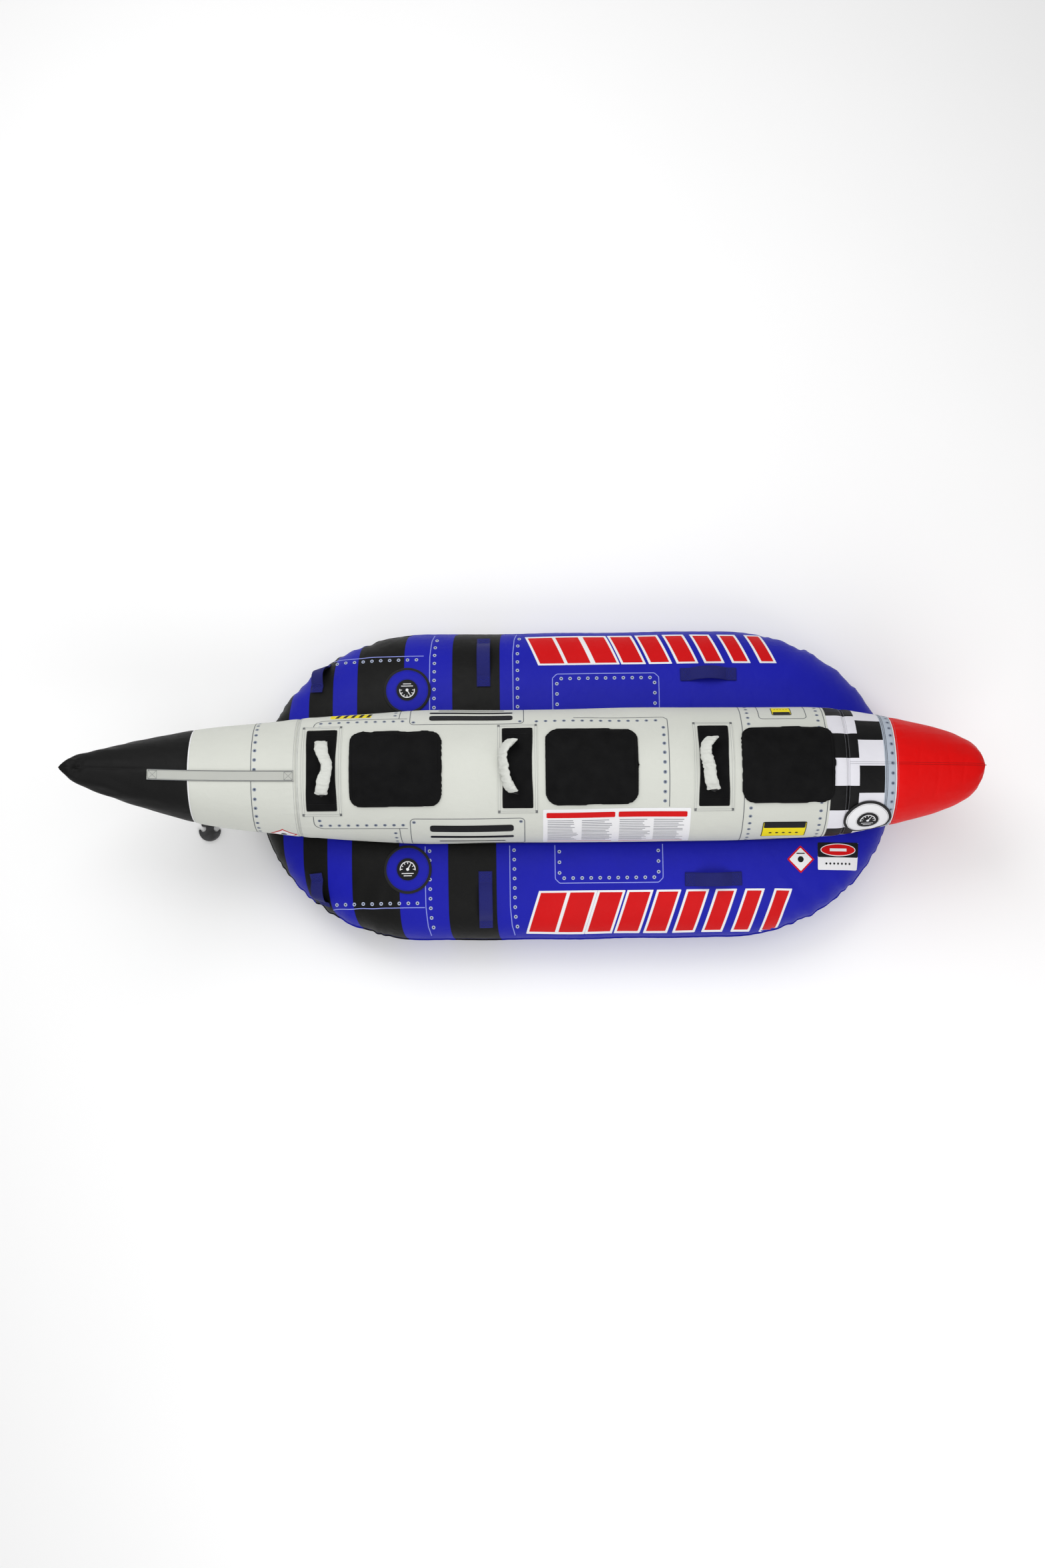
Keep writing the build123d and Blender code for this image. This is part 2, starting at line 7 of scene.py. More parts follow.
import bmesh
import bpy
import numpy as np
from mathutils import Matrix, Vector
from mathutils.bvhtree import BVHTree


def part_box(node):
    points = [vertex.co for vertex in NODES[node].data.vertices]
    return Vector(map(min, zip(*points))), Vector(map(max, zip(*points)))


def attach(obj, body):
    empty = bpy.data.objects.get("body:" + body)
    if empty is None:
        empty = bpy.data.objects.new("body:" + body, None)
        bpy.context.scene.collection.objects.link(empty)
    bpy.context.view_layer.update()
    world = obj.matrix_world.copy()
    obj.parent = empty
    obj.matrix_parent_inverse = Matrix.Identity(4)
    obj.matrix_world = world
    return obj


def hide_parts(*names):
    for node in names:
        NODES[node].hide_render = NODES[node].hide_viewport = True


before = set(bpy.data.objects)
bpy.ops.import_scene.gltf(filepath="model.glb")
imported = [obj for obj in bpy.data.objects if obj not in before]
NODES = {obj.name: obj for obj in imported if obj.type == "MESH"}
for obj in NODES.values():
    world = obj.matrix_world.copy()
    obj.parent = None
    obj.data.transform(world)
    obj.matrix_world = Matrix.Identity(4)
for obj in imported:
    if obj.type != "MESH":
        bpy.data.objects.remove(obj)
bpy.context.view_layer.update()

SIDES = ((1, "right"), (-1, "left"))

# -------- driving dimensions
# The fuselage's own profile is measured from the frame; these are places along it.
BOW_SEAM_X = -1.211
FORWARD_SEAM_X = -0.832
CHECKER_SEAM_X = 1.131
STERN_SEAM_X = 1.306

# Pontoons: D-shaped in plan, a straight middle with two elliptical ends.
PONTOON_BOW_X = -0.379
PONTOON_STERN_X = 0.727
PONTOON_END_LENGTH = 0.630
PONTOON_INNER_Y = 0.030
PONTOON_OUTER_Y = 0.580
PONTOON_HALF_HEIGHT = 0.180
PONTOON_AXIS_Z = 0.176
END_HEIGHT_POWER = 0.7
NEST_GAP = 0.0022
NEST_SOFTNESS = 0.010
END_SWEEP = radians(88)
BLADDER_SWEEP = radians(78)
GATHER_PITCH = 0.048

SEATS = 3
SEAT_PITCH = 0.697
FIRST_GUARD_X = -0.740
PAD_OFFSET = 0.263
GRIP_REST = (12, -42, -22)
GRIP_HALF_SPAN = 0.098
GRIP_HEIGHT = 0.066
GRIP_ARCH_POWER = 2.6

BOARDING_WEBBING_WIDTH = 0.050
BOW_WEBBING_WIDTH = 0.038
TOW_STRAP_WIDTH = 0.0475
INK_LIFT = 0.0005
RIVET_RADIUS = 0.0066


# -------- small numeric helpers
def smoothstep(low, high, value):
    """0 below low and 1 above high, or the other way round where low is over high."""
    t = np.clip((value - low) / (high - low), 0, 1)
    return t * t * (3 - 2 * t)


def soft_max(a, b, softness):
    gap = np.clip(0.5 + 0.5 * (a - b) / softness, 0, 1)
    return b + (a - b) * gap + softness * gap * (1 - gap)


def ripples(u, v, wavelength, seed, count=7):
    """Smooth noise between about -1 and 1: a few waves of mixed direction and length."""
    draw = np.random.RandomState(seed)
    total = 0
    for _ in range(count):
        turn = draw.uniform(0, 2 * pi)
        length = wavelength * draw.uniform(0.6, 1.6)
        phase = draw.uniform(0, 2 * pi)
        total = total + np.sin(2 * pi * (u * cos(turn) + v * sin(turn)) / length + phase)
    return total / sqrt(count)


# -------- the two inflated shapes
def measure_fuselage():
    """Radius and axis height along the fuselage, read off the frame's covers by rays."""
    names = ("bow_cone_cover", "forward_cover", "body_cover", "checker_cover", "stern_cone_cover")
    verts = []
    faces = []
    for name in names:
        mesh = NODES[name].data
        base = len(verts)
        verts += [v.co.copy() for v in mesh.vertices]
        faces += [[base + i for i in p.vertices] for p in mesh.polygons]
    tree = BVHTree.FromPolygons(verts, faces)
    low = min(v.x for v in verts)
    high = max(v.x for v in verts)
    margin = 0.002
    rows = []
    for x in np.linspace(low + margin, high - margin, 480):
        top = tree.ray_cast(Vector((x, 0, 2)), Vector((0, 0, -1)))[0]
        bottom = tree.ray_cast(Vector((x, 0, -1)), Vector((0, 0, 1)))[0]
        rows.append((x, (top.z - bottom.z) / 2, (top.z + bottom.z) / 2))
    table = np.array(rows)
    kernel = np.array([1, 2, 3, 2, 1]) / 9
    for column in (1, 2):
        smooth = np.convolve(table[:, column], kernel, "same")
        table[3:-3, column] = smooth[3:-3]
    table[[0, -1], 1] = 0.001
    # The bow comes to a point.
    table[:, 1] = np.minimum(table[:, 1], 0.003 + (table[:, 0] - table[0, 0]))
    return table


PROFILE = measure_fuselage()
BOW_TIP_X = PROFILE[0, 0]
STERN_TIP_X = PROFILE[-1, 0]


def fuselage_radius(x):
    return np.interp(x, PROFILE[:, 0], PROFILE[:, 1])


def fuselage_axis(x):
    return np.interp(x, PROFILE[:, 0], PROFILE[:, 2])


CENTRE_VALVE = (1.210, -radians(60) * float(fuselage_radius(1.210)))
PONTOON_VALVE = (-0.450, 0.333)


SEAM_STRENGTHS = ((BOW_SEAM_X, 0.5), (FORWARD_SEAM_X, 1.0), (CHECKER_SEAM_X, 1.0), (STERN_SEAM_X, 0.8))


def seam_relief(x, s):
    """A sewn ring seam: a stitched groove, and puckers that fade away from it."""
    total = 0
    for place, strength in SEAM_STRENGTHS:
        away = np.abs(x - place)
        total = total - 0.0022 * strength * np.exp(-((away / 0.006) ** 2))
        pucker = ripples(s, x * 0.25, 0.030, 5)
        total = total + 0.0010 * strength * pucker * np.exp(-away / 0.035)
        total = total + 0.0012 * strength * np.exp(-(((away - 0.03) / 0.02) ** 2))
    return total


def quiet_dents(x, s):
    """Broad soft dents, which fade out round the valve and along the keel zip, so that both lie flat."""
    away = np.hypot(x - CENTRE_VALVE[0], s - CENTRE_VALVE[1])
    off_keel = smoothstep(0.04, 0.16, pi * fuselage_radius(x) - np.abs(s))
    return 0.0016 * ripples(x, s, 0.42, 11) * (1 - np.exp(-((away / 0.11) ** 2))) * off_keel


def fuselage_relief(x, s):
    """How far the fabric stands off its smooth shape: seams, creases at the tips, soft dents."""
    crown_seam = np.exp(-((s / 0.004) ** 2)) * smoothstep(CHECKER_SEAM_X - 0.01, CHECKER_SEAM_X, x)
    bow_crease = np.exp(-((s / 0.005) ** 2)) * smoothstep(-1.33, -1.37, x)
    total = seam_relief(x, s) - 0.0018 * crown_seam - 0.0022 * bow_crease
    angle = s / np.maximum(fuselage_radius(x), 0.01)
    at_bow = np.exp(-(x - BOW_TIP_X) / 0.045)
    total = total + 0.0010 * at_bow * np.sin(7 * angle + 2.7 * ripples(x, x * 0, 0.08, 3))
    total = total + 0.0012 * smoothstep(-1.20, -1.50, x) * ripples(x * 0.35, s, 0.05, 21)
    at_stern = np.exp(-(STERN_TIP_X - x) / 0.06)
    total = total + 0.0016 * at_stern * np.sin(11 * angle)
    total = total + 0.0007 * smoothstep(1.32, 1.55, x) * ripples(x * 0.4, s, 0.045, 33)
    for place, middle in ((1.395, 0.03), (1.450, -0.04), (1.505, 0.02), (1.560, -0.02)):
        bent = x - place - 0.010 * np.sin(s * 14 + place * 40)
        total = total - 0.0011 * np.exp(-((bent / 0.005) ** 2)) * np.exp(-(((s - middle) / 0.09) ** 2))
    crumple = np.exp(-(((x + 1.580) / 0.026) ** 2) - ((s - 0.006) / 0.030) ** 2)
    return total + 0.0034 * crumple * ripples(x, s, 0.030, 44) + quiet_dents(x, s)


def hull(x, s, lift=0.0):
    """Points on the fuselage's fabric at x, s metres round from the crown towards +Y."""
    x, s, lift = np.broadcast_arrays(x, s, lift)
    radius = fuselage_radius(x)
    reach = radius + lift + fuselage_relief(x, s)
    angle = s / radius
    return np.stack([x, reach * np.sin(angle), fuselage_axis(x) + reach * np.cos(angle)], -1)


def pontoon_section(x):
    past = np.clip(np.maximum(PONTOON_BOW_X - x, x - PONTOON_STERN_X) / PONTOON_END_LENGTH, 0, 0.9999)
    shrink = np.sqrt(1 - past**2)
    outer = PONTOON_INNER_Y + (PONTOON_OUTER_Y - PONTOON_INNER_Y) * shrink
    middle = (outer + PONTOON_INNER_Y) / 2
    return middle, outer - middle, PONTOON_HALF_HEIGHT * shrink**END_HEIGHT_POWER


def pontoon_relief(side, x, y, t):
    """Gathers along the perimeter seam, deeper round the ends, and soft dents."""
    end_x = np.clip(x, PONTOON_BOW_X, PONTOON_STERN_X)
    reach_x = (x - end_x) / PONTOON_END_LENGTH
    reach_y = np.maximum(y - PONTOON_INNER_Y, 0.02) / (PONTOON_OUTER_Y - PONTOON_INNER_Y)
    turn = np.arctan2(reach_x, reach_y)
    along = end_x + turn * 0.60
    t_near = np.abs(np.angle(np.exp(1j * t)))
    from_seam = t_near * 0.17
    off_tip = smoothstep(radians(84), radians(58), np.abs(turn))
    bend = smoothstep(0.08, 0.55, np.abs(turn)) * off_tip
    jitter = 0.012 * ripples(along, along * 0, 0.13, 40 + side)
    gather = 0.5 - 0.5 * np.cos(2 * pi * (along + jitter) / GATHER_PITCH)
    gather = gather * (0.65 + 0.35 * ripples(along, along * 0, 0.15, 50 + side))
    total = -(0.0006 * off_tip + 0.0085 * bend) * gather * np.exp(-((from_seam / 0.050) ** 1.3))
    folds = ripples(along, from_seam * 0.3, 0.085, 60 + side)
    total = total + 0.0034 * bend * folds * np.exp(-((from_seam / 0.16) ** 2))
    total = total - 0.0030 * np.exp(-((from_seam / 0.006) ** 2)) * smoothstep(0.0, 0.4, reach_y)
    away = np.hypot(x - PONTOON_VALVE[0], y - PONTOON_VALVE[1])
    dents = 0.0020 * ripples(x, from_seam, 0.38, 70 + side) * (1 - np.exp(-((away / 0.11) ** 2)))
    return total + dents * off_tip


def pontoon(side, x, t, lift=0.0):
    """Points on a pontoon's fabric; side is 1 right or -1 left, t runs from outward up over the crown."""
    x, t, lift = np.broadcast_arrays(x, t, lift)
    middle, half_width, half_height = pontoon_section(x)
    y = middle + half_width * np.cos(t)
    z = PONTOON_AXIS_Z + half_height * np.sin(t)
    normal_y = np.cos(t) / half_width
    normal_z = np.sin(t) / half_height
    size = np.hypot(normal_y, normal_z)
    rise = lift + pontoon_relief(side, x, y, t)
    y = y + normal_y / size * rise
    z = z + normal_z / size * rise
    axis = fuselage_axis(x)
    keep = fuselage_radius(x) + NEST_GAP
    distance = np.hypot(y, z - axis)
    pushed = soft_max(distance, keep, NEST_SOFTNESS) / distance
    y = y * pushed
    z = axis + (z - axis) * pushed
    z = soft_max(z, 0.0004 + 0 * z, 0.004)
    return np.stack([x, side * y, z], -1)


def pontoon_normal(side, x, t, reach=0.024):
    """The skin's outward direction, taken over a patch as wide as webbing."""
    turn = reach / 0.18
    along = pontoon(side, x + reach, t) - pontoon(side, x - reach, t)
    round_it = pontoon(side, x, t + turn) - pontoon(side, x, t - turn)
    normal = -side * np.cross(along, round_it)
    return normal / np.linalg.norm(normal, axis=-1, keepdims=True)


def pontoon_top(side, x, y, lift=0.0):
    """Points on a pontoon's upper skin, placed by their plan position."""
    x, y = np.broadcast_arrays(x, y)
    middle, half_width, _ = pontoon_section(x)
    return pontoon(side, x, np.arccos(np.clip((y - middle) / half_width, -1, 1)), lift)


# -------- mesh makers
def new_object(name, verts, faces, uvs=None, material=None, smooth=True):
    mesh = bpy.data.meshes.new(name)
    mesh.from_pydata([tuple(v) for v in verts], [], [tuple(f) for f in faces])
    if uvs is not None:
        layer = mesh.uv_layers.new(name="UVMap")
        corners = np.empty(len(mesh.loops), np.int32)
        mesh.loops.foreach_get("vertex_index", corners)
        layer.data.foreach_set("uv", np.asarray(uvs, np.float32)[corners].ravel())
    if smooth:
        mesh.shade_smooth()
    mesh.update()
    made = bpy.data.objects.new(name, mesh)
    bpy.context.scene.collection.objects.link(made)
    if material is not None:
        mesh.materials.append(material)
    return made


def grid_faces(rows, columns, wrap=False, start=0):
    """Quads between the points of a grid stored row by row."""
    index = np.arange(rows * columns).reshape(rows, columns) + start
    if wrap:
        index = np.concatenate([index, index[:, :1]], 1)
    quads = np.stack([index[:-1, :-1], index[1:, :-1], index[1:, 1:], index[:-1, 1:]], -1)
    return quads.reshape(-1, 4).tolist()


def paired(along, across):
    """One value for each row beside a grid of values, as the two coordinates of each point."""
    return np.stack([np.broadcast_to(along[:, None], across.shape), across], -1)


def capped_faces(rows, columns):
    """The quads of a grid that wraps round, and a face over each end."""
    index = list(range(columns))
    return grid_faces(rows, columns, True) + [index[::-1], [(rows - 1) * columns + i for i in index]]


class Batch:
    """Collects many small surfaces that become one object."""

    def __init__(self):
        self.verts = []
        self.faces = []
        self.uvs = []
        self.count = 0

    def add(self, points, faces, uvs=None):
        points = np.asarray(points, float).reshape(-1, 3)
        if uvs is None:
            uvs = points[:, :2]
        self.verts.append(points)
        self.uvs.append(np.asarray(uvs, float).reshape(-1, 2))
        self.faces += [[i + self.count for i in face] for face in faces]
        self.count += len(points)

    def grid(self, points, uvs=None, wrap=False):
        rows, columns = points.shape[:2]
        self.add(points, grid_faces(rows, columns, wrap), uvs)

    def show(self, name, material, slot, *nodes, body="tube"):
        """Everything added so far as one object in the scene."""
        verts, uvs = np.concatenate(self.verts), np.concatenate(self.uvs)
        made = new_object(name, verts, self.faces, uvs, MATERIALS[material])
        show(made, body, slot, *nodes)


def recalc_normals(piece):
    work = bmesh.new()
    work.from_mesh(piece.data)
    bmesh.ops.recalc_face_normals(work, faces=work.faces)
    work.to_mesh(piece.data)
    work.free()
    return piece


# -------- materials
def rgb(red, green, blue):
    """A display colour, 0 to 255 a channel, as the linear one that shaders take."""
    shares = [c / 255 for c in (red, green, blue)]
    return tuple(c / 12.92 if c < 0.04 else ((c + 0.055) / 1.055) ** 2.4 for c in shares) + (1,)


SHADOW = (0, 0, 0, 1)


class Shade:
    """A node material, with short calls for the nodes it needs."""

    def __init__(self, name, roughness, **principled):
        self.material = bpy.data.materials.new(name)
        self.material.use_nodes = True
        self.tree = self.material.node_tree
        self.bsdf = self.tree.nodes["Principled BSDF"]
        self.bsdf.inputs["Roughness"].default_value = roughness
        for key, value in principled.items():
            self.bsdf.inputs[key.replace("_", " ").title().replace("Ior", "IOR")].default_value = value

    def node(self, kind, settings=None, **inputs):
        made = self.tree.nodes.new("ShaderNode" + kind)
        for key, value in (settings or {}).items():
            setattr(made, key, value)
        for key, value in inputs.items():
            self.feed(made.inputs[key.replace("_", " ")], value)
        return made

    def place(self):
        """The point's own place on the piece, in metres."""
        return self.node("TexCoord").outputs["Object"]

    def feed(self, socket, value):
        if isinstance(value, bpy.types.NodeSocket):
            self.tree.links.new(value, socket)
        else:
            socket.default_value = value

    def math(self, operation, first, second=0.0, clamp=False):
        made = self.node("Math", {"operation": operation, "use_clamp": clamp})
        self.feed(made.inputs[0], first)
        self.feed(made.inputs[1], second)
        return made.outputs[0]

    def mix(self, factor, first, second, blend="MIX"):
        made = self.node("Mix", {"data_type": "RGBA", "blend_type": blend})
        self.feed(made.inputs[0], factor)
        self.feed(made.inputs[6], first)
        self.feed(made.inputs[7], second)
        return made.outputs[2]

    def noise(self, vector, size, detail=3.0):
        """Noise whose blotches are about size metres across."""
        return self.node("TexNoise", Vector=vector, Scale=1 / size, Detail=detail).outputs[0]

    def wave(self, vector, wavelength, direction):
        settings = {"wave_type": "BANDS", "bands_direction": direction}
        made = self.node("TexWave", settings, Vector=vector, Scale=pi / 10 / wavelength)
        return made.outputs["Fac"]

    def bump(self, height, distance, under=None):
        made = self.node("Bump", Height=height, Distance=distance, Strength=1.0)
        if under is not None:
            self.feed(made.inputs["Normal"], under)
        return made.outputs["Normal"]

    def between(self, value, low, high):
        """1 where low < value < high, else 0."""
        over = self.math("GREATER_THAN", value, low)
        return self.math("MULTIPLY", over, self.math("LESS_THAN", value, high))

    def finish(self, colour, normal, roughness=None):
        self.feed(self.bsdf.inputs["Base Color"], colour)
        self.feed(self.bsdf.inputs["Normal"], normal)
        if roughness is not None:
            self.feed(self.bsdf.inputs["Roughness"], roughness)
        return self.material


def spread(shade, low, high, factor):
    """A factor from 0 to 1 as a value between two limits."""
    return shade.node("MapRange", Value=factor, To_Min=low, To_Max=high).outputs[0]


def nylon(name, colour, paint=None, weave=0.0011, roughness=0.46, dent_shade=0.12, coat=0.015):
    """Coated nylon: a fine plain weave, faint handling creases, and a soft shine that varies."""
    shade = Shade(name, roughness, specular_ior_level=0.13, coat_weight=coat, coat_roughness=0.4)
    cloth = shade.node("UVMap").outputs["UV"]
    place = shade.place()
    threads = shade.math("MULTIPLY", shade.wave(cloth, weave, "X"), shade.wave(cloth, weave, "Y"))
    blotches = shade.noise(place, 0.16)
    creases = shade.node("TexNoise", Vector=place, Scale=26.0, Detail=4.0, Distortion=0.8).outputs[0]
    base = paint(shade, cloth, place) if paint else colour
    # Painted shade in the soft dents: the cloth is painted darker where the blotch noise, which also dents
    # it, sinks.
    shadow = spread(shade, 1 - dent_shade, 1 + dent_shade * 0.3, blotches)
    shadow = shade.node("CombineColor", Red=shadow, Green=shadow, Blue=shadow).outputs[0]
    toned = shade.mix(1.0, base, shadow, "MULTIPLY")
    # Painted shade between the threads: where the weave sinks, the cloth is painted 14% toward black.
    deep = shade.mix(0.14, toned, SHADOW)
    woven = shade.mix(threads, deep, toned)
    normal = shade.bump(threads, 0.00012, shade.bump(creases, 0.0016, shade.bump(blotches, 0.003)))
    return shade.finish(woven, normal, spread(shade, roughness - 0.07, roughness + 0.12, creases))


def webbing(name, colour, rib=0.0024):
    """Flat woven webbing: ribs along it, picks across it, and a slightly furry sheen."""
    shade = Shade(name, 0.62, specular_ior_level=0.2, sheen_weight=0.02, sheen_roughness=0.5)
    cloth = shade.node("UVMap").outputs["UV"]
    ribs = shade.wave(cloth, rib, "Y")
    picks = shade.wave(cloth, rib * 0.6, "X")
    threads = shade.math("MULTIPLY", shade.math("ADD", ribs, picks), 0.5)
    fuzz = shade.noise(shade.place(), 0.0030, 2.0)
    # Painted shade between the ribs and picks: where the weave sinks, the webbing is painted darker.
    dark = shade.mix(0.45, colour, SHADOW)
    woven = shade.mix(threads, dark, colour)
    toned = shade.mix(spread(shade, 0.0, 0.03, fuzz), woven, (0.5, 0.5, 0.5, 1))
    return shade.finish(toned, shade.bump(threads, 0.0005, shade.bump(fuzz, 0.0002)))


def foam(name, colour, grain=0.0016, roughness=0.62, wave_size=0.05, depth=0.0005):
    """Fabric-faced foam: a fine knit over soft uneven padding."""
    shade = Shade(name, roughness, specular_ior_level=0.05)
    place = shade.place()
    knit = shade.node("TexVoronoi", {"feature": "F1"}, Vector=place, Scale=1 / grain).outputs["Distance"]
    soft = shade.noise(place, wave_size)
    lighter = shade.mix(0.012, colour, (1, 1, 1, 1))
    toned = shade.mix(shade.math("MULTIPLY", soft, 0.8), colour, lighter)
    # Painted shade between the knit's loops: the cell edges are painted darker.
    knit_shade = shade.mix(shade.math("MULTIPLY", knit, 0.35, True), toned, shade.mix(0.3, colour, SHADOW))
    normal = shade.bump(knit, 0.0002, shade.bump(soft, depth * 4))
    return shade.finish(knit_shade, normal, spread(shade, roughness - 0.1, roughness + 0.1, soft))


def moulded(name, colour, roughness=0.42):
    """Moulded plastic or PVC: a fine spark texture and faint flow marks."""
    shade = Shade(name, roughness, specular_ior_level=0.5)
    place = shade.place()
    grain = shade.noise(place, 0.0008, 2.0)
    flow = shade.noise(place, 0.03)
    toned = shade.mix(spread(shade, 0.0, 0.12, flow), colour, (0.6, 0.6, 0.62, 1))
    normal = shade.bump(grain, 0.00008, shade.bump(flow, 0.0004))
    return shade.finish(toned, normal, spread(shade, roughness - 0.08, roughness + 0.12, flow))


WHITE = rgb(230, 229, 236)
BLACK = rgb(13, 13, 14)
BODY_GREY = rgb(214, 216, 208)
BAND_GREY = rgb(180, 190, 203)
BLUE = rgb(22, 26, 172)
STRIPE_BLACK = rgb(13, 13, 12)
RED = rgb(228, 0, 0)
DARK_BLUE = rgb(8, 15, 112)

# The checked cloth near the stern: two columns, then a riveted band up to the red cone.
CHECK_COLUMNS = (1.067, 1.169, 1.261)
CHECK_ROW = 0.0985
CHECK_START = (0.017, -0.010)

# Where the black and blue stripes of the pontoons change, from the bow aft, on the left pontoon.
STRIPE_EDGES = (-0.916, -0.838, -0.747, -0.656, -0.481, -0.302, -0.125)
RIGHT_STRIPE_SHIFT = 0.019


def checks(shade, cloth, place):
    parts = shade.node("SeparateXYZ", Vector=cloth).outputs
    x, s = parts[0], parts[1]
    colour = BODY_GREY
    for i, start in enumerate(CHECK_START):
        rows = shade.math("DIVIDE", shade.math("SUBTRACT", s, start), CHECK_ROW)
        odd = shade.math("FLOORED_MODULO", shade.math("ADD", shade.math("FLOOR", rows), 1.0 - i), 2.0)
        square = shade.mix(shade.math("GREATER_THAN", odd, 0.5), WHITE, BLACK)
        inside = shade.between(x, CHECK_COLUMNS[i], CHECK_COLUMNS[i + 1])
        colour = shade.mix(inside, colour, square)
    return shade.mix(shade.math("GREATER_THAN", x, CHECK_COLUMNS[2]), colour, BAND_GREY)


def stripes(shift):
    """Black and blue bands, whose edges bend aft as they near the perimeter seam, most at the bow."""

    def paint(shade, cloth, place):
        parts = shade.node("SeparateXYZ", Vector=place).outputs
        from_seam = shade.math("ABSOLUTE", shade.math("SUBTRACT", parts[2], PONTOON_AXIS_Z))
        low = shade.math("SUBTRACT", 1.0, shade.math("DIVIDE", from_seam, 0.135), True)
        limits = {"From_Min": -0.85, "From_Max": -0.10, "To_Min": 0.034, "To_Max": 0.014}
        most = shade.node("MapRange", Value=parts[0], **limits).outputs[0]
        bend = shade.math("MULTIPLY", shade.math("POWER", low, 1.7), most)
        x = shade.math("SUBTRACT", parts[0], bend)
        colour = STRIPE_BLACK
        for i, edge in enumerate(STRIPE_EDGES):
            after = shade.math("GREATER_THAN", x, edge + shift)
            colour = shade.mix(after, colour, STRIPE_BLACK if i % 2 else BLUE)
        return colour

    return paint


MATERIALS = {
    "bow": nylon("bow_black_nylon", rgb(16, 16, 16), roughness=0.50),
    # The pale cloths take less painted shade in their soft dents.
    "grey": nylon("grey_nylon", BODY_GREY, roughness=0.50, dent_shade=0.05),
    "checks": nylon("checked_nylon", WHITE, checks, roughness=0.50, dent_shade=0.05),
    "red": nylon("red_nylon", RED, roughness=0.48),
    "left": nylon("left_striped_nylon", BLUE, stripes(0.0)),
    "right": nylon("right_striped_nylon", BLUE, stripes(RIGHT_STRIPE_SHIFT)),
    "blue": nylon("blue_nylon", BLUE),
    "flap_white": nylon("white_nylon", rgb(240, 240, 242), roughness=0.50, dent_shade=0.05),
    "pad": foam("pad_fabric", rgb(5, 5, 6)),
    "guard": foam("guard_neoprene", rgb(5, 5, 6), 0.0012, 0.66),
    "grip": foam("grip_fabric", rgb(206, 208, 202), 0.0014, 0.70, 0.02, 0.0006),
    "dark_blue_webbing": webbing("dark_blue_webbing", DARK_BLUE),
    "black_webbing": webbing("black_webbing", rgb(22, 22, 23)),
    "grey_webbing": webbing("grey_webbing", rgb(205, 207, 200)),
    "pvc": moulded("bladder_pvc", rgb(70, 74, 82), 0.35),
    "valve": moulded("valve_plastic", rgb(28, 28, 30), 0.38),
    "hook": moulded("hook_plastic", rgb(16, 16, 17), 0.30),
    "zip_tape": webbing("zip_tape", rgb(20, 20, 22), 0.0012),
    "slider": moulded("slider_metal", rgb(150, 152, 156), 0.25),
}
THREADS = {"black": (24, 24, 26), "blue": (40, 52, 190), "red": (150, 6, 6)}
for ink, channels in THREADS.items():
    MATERIALS[ink + "_thread"] = webbing(ink + "_thread", rgb(*channels), 0.0008)
INKS = {
    "panel": (74, 78, 88),
    "rivet": (130, 140, 160),
    "eyelet": (182, 192, 216),
    "core": (40, 44, 56),
    "pale": (150, 160, 235),
    "white": (240, 240, 242),
    "black": (20, 20, 22),
    "red": (214, 4, 10),
    "yellow": (250, 230, 20),
    "grey": (150, 152, 158),
}
for ink, channels in INKS.items():
    # White ink takes less painted shade in its soft dents than the other inks.
    dent_shade = 0.04 if ink == "white" else 0.12
    MATERIALS[ink + "_ink"] = nylon(ink + "_ink", rgb(*channels), dent_shade=dent_shade)


def show(piece, body, slot, *nodes):
    """The piece rides on a body and stands for the CAD nodes named; slot is not used."""
    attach(piece, body)
    if nodes:
        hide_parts(*nodes)
    return piece


# -------- things laid on a surface
def deck(side):
    """The upper skin of a pontoon, as a surface in x and |y|."""
    return lambda u, v, lift=0.0: pontoon_top(side, u, v, lift)


def resample(points, step):
    points = np.asarray(points, float)
    gaps = np.linalg.norm(np.diff(points, axis=0), axis=1)
    along = np.concatenate([[0], np.cumsum(gaps)])
    wanted = np.linspace(0, along[-1], max(int(np.ceil(along[-1] / step)), 1) + 1)
    columns = [np.interp(wanted, along, points[:, k]) for k in range(points.shape[1])]
    return np.stack(columns, 1), wanted


def sideways(points):
    """Unit vectors to the left of a line drawn in a surface's own two coordinates."""
    ahead = np.gradient(points, axis=0)
    if np.allclose(points[0], points[-1]):
        ahead[0] = ahead[-1] = points[1] - points[-2]
    ahead = ahead / np.maximum(np.linalg.norm(ahead, axis=1, keepdims=True), 1e-9)
    return np.stack([-ahead[:, 1], ahead[:, 0]], 1)


def ribbon(batch, surface, points, width, lift=INK_LIFT):
    """A printed line of even width."""
    line, _ = resample(points, 0.006)
    left = sideways(line)[:, None, :] * np.linspace(-width / 2, width / 2, 3)[None, :, None]
    flat = line[:, None, :] + left
    batch.grid(surface(flat[..., 0], flat[..., 1], lift), flat)


def outline_box(centre, size, corner, step=0.006):
    """A rounded rectangle as a closed loop of points, without the repeated last one."""
    points = []
    for k, (i, j) in enumerate(((1, 1), (-1, 1), (-1, -1), (1, -1))):
        u = centre[0] + i * (size[0] / 2 - corner)
        v = centre[1] + j * (size[1] / 2 - corner)
        for share in np.linspace(0, 1, 9):
            turn = radians(90 * (k + share))
            points.append((u + corner * cos(turn), v + corner * sin(turn)))
    points.append(points[0])
    return resample(points, step)[0][:-1]


def outline_disc(centre, radius, count=48):
    turns = np.linspace(0, 2 * pi, count, endpoint=False)
    return np.stack([centre[0] + radius * np.cos(turns), centre[1] + radius * np.sin(turns)], 1)


def closed(outline):
    return np.concatenate([outline, outline[:1]])


